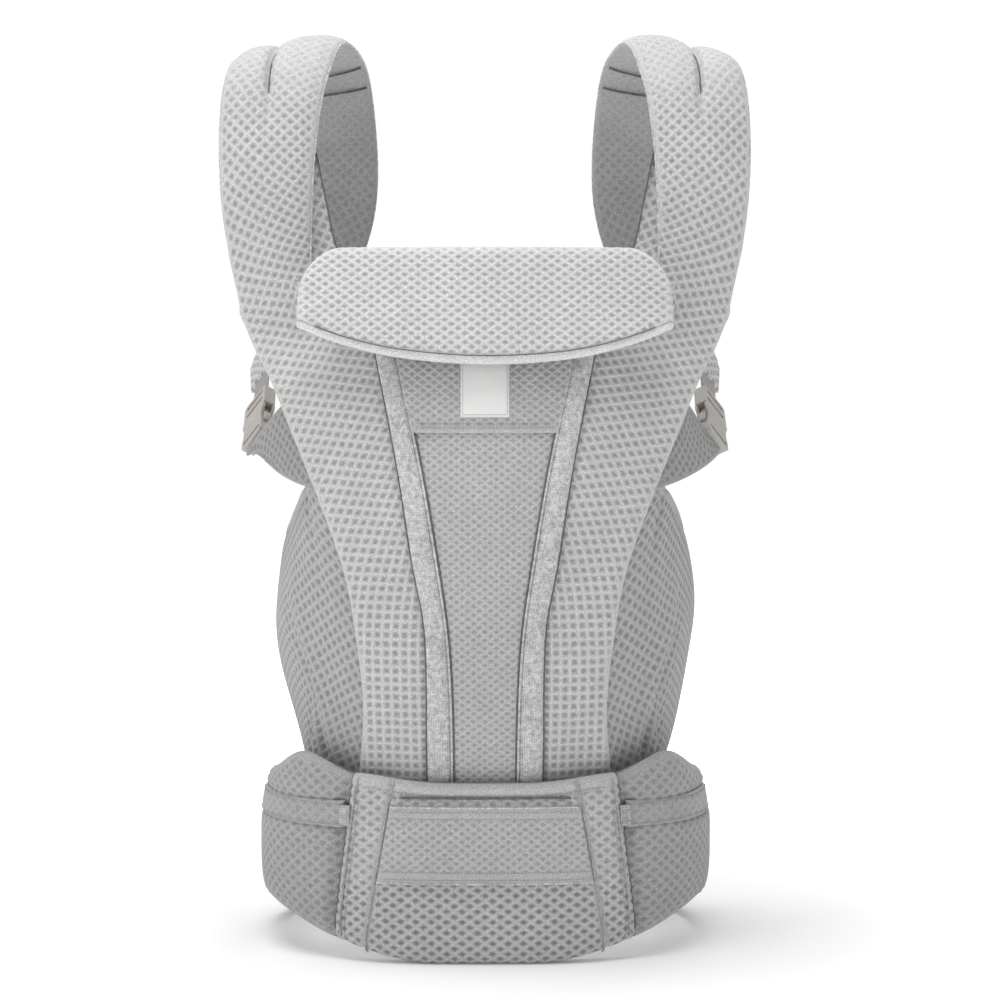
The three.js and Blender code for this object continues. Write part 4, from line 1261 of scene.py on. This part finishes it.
def build_waistband_front():
    a, b = grid(60, 36)
    degrees = lerp(-1, 1, a) * front_edge(b)
    high = 138 + front_rise(degrees)
    ends = 0.45 + 0.55 * edge_round(a, 12)
    tuck = front_tuck(degrees, b)
    z = lerp(band_bottom(degrees) + 0.5, high, b)
    half = EDGE_HALF + (FRONT_HALF - EDGE_HALF) * (edge_round(b, 7.0) * ends)
    front, back = (oval(degrees, z, tuck + FRONT_HALF + way * half) for way in (-1, 1))
    uv = lattice_uv(band_run(degrees), z, 11.6, 8.3)

    def seams(marks, height, openness):
        x, z, top = marks["x"], marks["z"], marks["top"]
        inner = np.abs(np.abs(x) - piped_seam(z, *INNER_SEAM))
        height = height - 1.1 * bell(inner, 0, 2.0)
        down = top - z
        height = height - 0.9 * bell(down, 9.5, 1.2) + 0.5 * bell(down, 4.5, 3.0)
        between = ramp(piped_seam(z, *INNER_SEAM) - np.abs(x), -1, 2)
        height = height - 1.5 * between * bell(down, 12.5, 3.0)
        edge = lerp(1, 0, ramp(inner, 1.5, 4.0))
        openness = openness * ramp(down, 9, 12) * (1 - edge)
        return height, openness * lerp(0.7, 1.0, ramp(62 - z, -3, 3))

    marks = {"x": front[..., 0], "z": z, "top": high + 0 * z}
    soft_piece("waistband_front_pad", front, back, uv, [MESH_OPEN_SHADED], step=1.7, relief=0.65, detail=seams,
               marks=marks, fill=0.45, replaces=("waistband_front_cover",))

    def on_front(x, z, lift=0.6):
        z = np.asarray(z, float)
        s = np.sign(x) * (np.abs(x) / BAND_HALF_WIDTH) ** (1 / BAND_POWER)
        deg = np.degrees(np.arcsin(np.clip(s, -1, 1)))
        share = np.clip((z - band_bottom(deg)) / (138 + front_rise(deg) - band_bottom(deg)), 0, 1)
        inset = FRONT_HALF - (EDGE_HALF + (FRONT_HALF - EDGE_HALF) * edge_round(share, 7.0))
        return oval(deg, z, inset + front_tuck(deg, share) - lift)

    lines, rows = [], []
    for sign in (-1, 1):
        zz = np.linspace(7.0, 141.0, 70)
        lines.append(on_front(sign * piped_seam(zz, *INNER_SEAM), zz, 0.4))
        zz = np.linspace(18.0, 143.0, 70)
        lines.append(on_front(sign * piped_seam(zz, *OUTER_SEAM), zz, 0.3))
        zz = np.linspace(18.0, 128.0, 70)
        rows.append(on_front(sign * (piped_seam(zz, *OUTER_SEAM) - 3.6), zz, 0.1))
    piping("waistband_piping", lines, 0.75, BAND_KNIT_SHADED)
    share = np.linspace(0.1, 0.97, 60)
    deep = front_edge(share) + 0.3
    deep_z = lerp(band_bottom(deep), band_top(deep), share)
    side_seam_shadow_line = oval(deep, deep_z, 6.2)
    # painted shadow: dark tubes down the deep side seams of the waistband front
    piping("waistband_side_seam_shadows", [mirror(side_seam_shadow_line, sign) for sign in (-1, 1)], 1.5, PAINTED_SEAM_SHADOW)
    xs = np.linspace(-94, 94, 120)
    deg = np.degrees(np.arcsin((np.abs(xs) / BAND_HALF_WIDTH) ** (1 / BAND_POWER)))
    top = 138 + front_rise(deg)
    rows.append(on_front(xs, top - 9.2, 0.3))
    rows.append(on_front(xs, top - 4.6, 0.2))
    stitches("waistband_stitches", rows)
    xs = np.linspace(-66, 66, 90)
    # painted shadow: a dark tube along the mouth of the waist pocket
    piping("waist_pocket_opening_shadow", [on_front(xs, 129.0, 0.2)], 0.9, PAINTED_SEAM_SHADOW)

    a, b = grid(50, 24)
    z = lerp(63.0, 122.0, b)
    x = lerp(-1, 1, a) * (piped_seam(z, *INNER_SEAM) - 2.0)
    puff = edge_round(b, 8) * edge_round(a, 14)
    front = on_front(x, z, 1.6) + np.array([0, -1.0, 0]) * puff[..., None]
    back = on_front(x, z, 0.3)
    uv = lattice_uv(x, z, 8.8, 6.6)

    def hems(marks, height, openness):
        low, high = marks["z"] - 63.0, 122.0 - marks["z"]
        for at, depth in ((8.6, 0.55), (3.2, 0.3)):
            height = height - depth * bell(low, at, 0.9) - depth * bell(high, at, 0.9)
        return height, openness * ramp(low, 8.5, 10.5) * ramp(high, 8.5, 10.5)

    soft_piece("waist_pocket_band", front, back, uv, [MESH_CLOSE_SHADED], step=1.6, relief=0.3, detail=hems,
               marks={"z": z}, flat=(172, 59), replaces=("waist_pocket_panel",))
    rows, edges = [], []
    for height in (63.2 + 3.0, 63.2 + 8.8, 122 - 3.4, 122 - 8.8):
        reach = piped_seam(height, *INNER_SEAM) - 4.0
        rows.append(on_front(np.linspace(-reach, reach, 90), height, 2.75))
    for height in (63.2, 121.8):
        reach = piped_seam(height, *INNER_SEAM) - 2.0
        edges.append(on_front(np.linspace(-reach, reach, 90), height, 1.9))
    stitches("waist_pocket_stitches", rows, pitch=2.7, length=1.8)
    piping("waist_pocket_edges", edges, 0.8, KNIT)


def side_low(degrees):
    return band_bottom(degrees) + 0.5


def side_high(degrees):
    return band_top(degrees) + 2.5 + 5.0 * bell(degrees, 50, 14) + 3.0 * bell(degrees, 78, 14)


def side_face(degrees, z):
    """Depth below the oval of a side pad's outer face, and half the pad's thickness there."""
    share = np.clip((z - side_low(degrees)) / (side_high(degrees) - side_low(degrees)), 0, 1)
    half = 1.2 + 6.3 * edge_round(share, 4.0)
    lean = 5.0 * ramp(z, 90, 150) * ramp(degrees, 42, 78) * (1 - ramp(degrees, 100, 115))
    tuck = 5.0 * (1 - edge_round(share, 3.2)) * (share < 0.5)
    return 8.3 + lean - half + tuck, half


CINCH = 2.6  # how deep the adjuster strap pulls into a side pad


def cinched(degrees, z):
    """1 under the adjuster strap, 0 away from it."""
    across = ramp(z, 99, 104) * (1 - ramp(z, 124, 129))
    return across * ramp(degrees, 31, 34) * (1 - ramp(degrees, 87, 96))


def build_waistband_sides():
    a, b = grid(66, 30)
    degrees = lerp(front_edge(b) + 0.9, WING_ANGLE, a)
    z = lerp(side_low(degrees), side_high(degrees), b)
    rear_end = np.sqrt(np.clip(1 - np.clip((a - 0.93) / 0.07, 0, 1) ** 2.2, 0, 1))
    ends = rear_end * (0.12 + 0.88 * ramp(a, 0, 0.05))
    face, half = side_face(degrees, z)
    middle = face + half
    half = 1.2 + (half - 1.2) * ends
    front = oval(degrees, z, middle - half)
    back = oval(degrees, z, middle + half)
    uv = lattice_uv(band_run(degrees), z, 11.6, 8.6)
    for side, sign in SIDES:

        def press(marks, height, openness):
            height = height - CINCH * cinched(marks["degrees"], marks["z"])
            height = height + 0.9 * np.sin(marks["run"] * 0.05 + sign) * edge_round(marks["b"], 2)
            rim = np.minimum(marks["b"], 1 - marks["b"]) * 125
            height = height - 0.8 * bell(rim, 6.0, 1.2)
            return height, openness * ramp(rim, 4.0, 7.0)

        marks = {"z": z, "degrees": degrees, "run": band_run(degrees), "b": b}
        soft_piece("waistband_side_pad_" + side, mirror(front, sign), mirror(back, sign), uv, [MESH_SIDE_SHADED],
                   step=1.9, relief=0.5, detail=press, marks=marks, pins=cinched(degrees, z) > 0.5,
                   pressure=2.2, cap=3.0, fill=0.55, replaces=("waistband_wing_cover_" + side,))
        build_adjuster(side, sign)


def build_adjuster(side, sign):
    """The flat strap that cinches a side pad, with the loop that holds its front end."""

    def lifted(deg, zz, lift):
        return mirror(oval(deg, zz, side_face(deg, zz)[0] + CINCH - lift), sign)

    a, b = grid(60, 10)
    deg, zz = lerp(32.4, 87.5, a), lerp(103.5, 124.5, b)
    puff = edge_round(b, 5) * edge_round(a, 40)
    uv = lattice_uv(band_run(deg), zz, 11.6, 8.6)

    def hem(marks, height, openness):
        return height, openness * 0.55

    soft_piece("seat_adjuster_strap_" + side, lifted(deg, zz, 0.7 + 1.5 * puff), lifted(deg, zz, -0.4), uv,
               [MESH_SIDE_SHADED], step=1.7, relief=0.25, detail=hem, flat=(120, 21),
               rests=["waistband_side_pad_" + side], slot="webbing", replaces=("seat_adjuster_band_" + side,))
    sweep = np.linspace(33, 87, 90)
    rows = [lifted(sweep, height, 2.2) for height in (106.2, 121.8)]
    rows.append(lifted(50.0, np.linspace(106.5, 121.5, 20), 2.3))
    stitches("seat_adjuster_stitches_" + side, rows, slot="webbing")
    a, b = grid(8, 10)
    deg, zz = lerp(29.8, 33.0, a), lerp(105.5, 121.5, b)
    soft_piece("seat_adjuster_loop_" + side, lifted(deg, zz, CINCH + 1.6), lifted(deg, zz, CINCH - 0.8),
               np.stack([zz, band_run(deg)], -1), [BAND_KNIT_SHADED], step=1.2, relief=0, flat=(11, 16),
               rests=["waistband_front_pad"], slot="webbing", replaces=("seat_adjuster_tab_" + side,))


def build_waistband_lining():
    a, b = grid(120, 16)
    degrees = lerp(-WING_ANGLE, WING_ANGLE, a)
    z = lerp(band_bottom(degrees) + 1.0, band_top(degrees) + 1.0, b)
    front = oval(degrees, z, 16.2)
    back = oval(degrees, z, 18.6 + 1.4 * edge_round(b, 3))
    uv = np.stack([band_run(degrees), z], -1)
    soft_piece("waistband_lining_cloth", front, back, uv, [LINING], step=4.0, relief=0, flat=(770, 137),
               slot="lining_fabric", replaces=("waistband_lining", "waistband_foam"))


# ---- webbing and fittings
TAPE_STEP = 2.0
UP = np.array([0.0, 0.0, 1.0])


def tape(name, line, across, width, thick, body="carrier", replaces=()):
    """A flat woven tape along a line, with its width in the direction of across."""
    run = along(line)[-1]
    at = np.linspace(0, run, max(6, int(run / TAPE_STEP)))
    spine = walk(line, at)
    side = np.broadcast_to(unit(across), spine.shape)
    normal = unit(np.cross(side, unit(np.gradient(spine, axis=0))))
    share = np.linspace(-0.5, 0.5, 13)
    swell = thick / 2 * (1 - 0.6 * (2 * np.abs(share)) ** 8)
    base = spine[None] + side[None] * (share * width)[:, None, None]
    front, back = (base + way * normal[None] * swell[:, None, None] for way in (1, -1))
    uv = np.stack(np.meshgrid(share * width, at, indexing="ij"), -1)
    closed_sheet(name, front, back, uv, [WEBBING], slot="webbing", body=body, replaces=replaces)


def refine_hardware(node, material, body):
    """A moulded part with its edges rounded, in place of the plain CAD solid."""
    source = bpy.data.objects[node]
    name = node + "_moulding"
    mesh = source.data.copy()
    mesh.name = name
    mesh.transform(source.matrix_world)
    mesh.materials.clear()
    shape = bmesh.new()
    shape.from_mesh(mesh)
    bmesh.ops.remove_doubles(shape, verts=shape.verts, dist=1e-6)
    bmesh.ops.dissolve_limit(shape, angle_limit=math.radians(4), verts=shape.verts, edges=shape.edges)
    sharp = [e for e in shape.edges if len(e.link_faces) == 2 and e.calc_face_angle(0) > math.radians(32)]
    bmesh.ops.bevel(shape, geom=sharp, offset=0.5 * MM, segments=2, affect="EDGES", clamp_overlap=True,
                    profile=0.6)
    bmesh.ops.triangulate(shape, faces=[f for f in shape.faces if len(f.verts) > 4])
    shape.to_mesh(mesh)
    shape.free()
    mesh.polygons.foreach_set("use_smooth", [True] * len(mesh.polygons))
    obj = link(bpy.data.objects.new(name, mesh))
    mesh.materials.append(material)
    modifier = obj.modifiers.new("corners", "WEIGHTED_NORMAL")
    modifier.keep_sharp = True
    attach(obj, body)
    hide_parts(node)


def build_hardware():
    record = frame["record"]
    bodies = {node: body for body, nodes in record["behaviour"]["bodies"].items() for node in nodes}
    finishes = {"buckle_plastic": PLASTIC, "button_plastic": BUTTON}
    for row in record["subparts"]:
        node, slot = row["node"], row["material_slot"]
        if slot in finishes:
            refine_hardware(node, finishes[slot], bodies.get(node, "carrier"))


def side_frame(sign):
    """A side buckle's axes and mouth. across isn't mirrored: it points down on the left, up on the right."""
    across = np.array([-0.53589, -0.545 * sign, 0.64482 * sign])
    onward = np.array([-0.00003 * sign, -0.76373, -0.64554])
    mouth = np.array([184.9983 * sign, 5.8136, 418.72309])
    return across, onward, mouth


def build_side_webbing():
    for side, sign in SIDES:
        across, onward, mouth = side_frame(sign)
        line = np.array([mouth - onward * 54, mouth - onward * 6.8])
        tape("side_webbing_tape_" + side, line, across, 25, 1.4, body="side_male_" + side,
             replaces=("side_webbing_" + side,))
        build_side_tab(side, sign, mouth + onward * 32.8, across, onward)


def build_side_tab(side, sign, start, across, onward):
    """A dark mesh tab that widens from a side buckle to the back of the flank's edge.

    across points down on the left, so the left tab starts with its edges swapped and is twisted there.
    """
    a, b = grid(16, 30)
    inwards = np.array([-0.86 * sign, -0.45, -0.05])
    low_end = mirror(panel(126, 364, 5.0), sign)
    high_end = mirror(panel(148, 436, 5.0), sign)
    low = [start - across * 10, start + onward * 24, low_end - inwards * 30 + xyz(0, 0, 3), low_end]
    high = [start + across * 12.5, start + across * 34 - onward * 4, high_end - inwards * 12, high_end]
    point = 0
    for k, (p, q) in enumerate(zip(low, high)):
        weight = math.comb(3, k) * b**k * (1 - b) ** (3 - k)
        point = point + lerp(p, q, a[..., None]) * weight[..., None]
    normal = grid_normals(point)
    if normal[8, 15, 0] * sign < 0:
        normal = -normal
    thick = 0.9 + 0.7 * edge_round(a, 8)
    front, back = point + normal * thick[..., None], point - normal * thick[..., None]
    uv = flow_uv(front, np.full(b.shape[1], 30.0), np.ones(b.shape[1]))

    def hem(marks, height, openness):
        width = marks["width"]
        edge = np.minimum(marks["a"], 1 - marks["a"]) * width
        return height - 0.5 * bell(edge, 4.4, 0.9), openness * ramp(edge, 2.5, 5.0)

    width = np.broadcast_to(np.linalg.norm(point[-1] - point[0], axis=-1), a.shape)
    soft_piece("side_tab_cloth_" + side, front, back, uv, [TAB_MESH], step=1.5, relief=0.4, detail=hem,
               marks={"a": a, "width": width}, flat=(68, 120), replaces=("side_tab_" + side,))


def build_chest_strap():
    for side, body, start, end in (("left", "chest_strap", -29.4, -121.4), ("right", "chest_male", 6.6, 168)):
        line = np.array([(start, 143.5, 546.0), (end, 143.5, 546.0)])
        tape("chest_webbing_%s_tape" % side, line, UP, 20, 1.4, body=body,
             replaces=("chest_webbing_" + side,))
    for side, sign in SIDES:
        line = np.array([(sign * 134, 137.2, 526), (sign * 134, 137.2, 612)])
        tape("chest_rail_tape_" + side, line, (1.0, 0, 0), 10, 1.6, replaces=("chest_rail_" + side,))


def build_waist_belt():
    belt_y = BAND_CENTER_Y + BAND_BACK - WEBBING_INSET

    def angle_at(x):
        s = (x / (BAND_HALF_WIDTH - WEBBING_INSET)) ** (1 / BAND_POWER)
        return 180 - math.degrees(math.asin(s))

    end = WING_ANGLE - 4.5
    for side, sign, reach in (("left", -1, 52.4), ("right", 1, 70.0)):
        deg = np.linspace(end, angle_at(reach), 60)
        line = mirror(oval(deg, BELT_HEIGHT, WEBBING_INSET), sign)
        tape("waist_webbing_%s_tape" % side, line, UP, 38, 1.4, replaces=("waist_webbing_" + side,))
    line = np.array([(6.6, belt_y, BELT_HEIGHT), (112, belt_y, BELT_HEIGHT)])
    tape("waist_webbing_tail_tape", line, UP, 38, 1.4, body="waist_male", replaces=("waist_webbing_tail",))


for build in (build_panel, build_straps, build_wings, build_head_support, build_waistband_front,
              build_waistband_sides, build_waistband_lining, build_hardware, build_side_webbing,
              build_chest_strap, build_waist_belt):
    build()
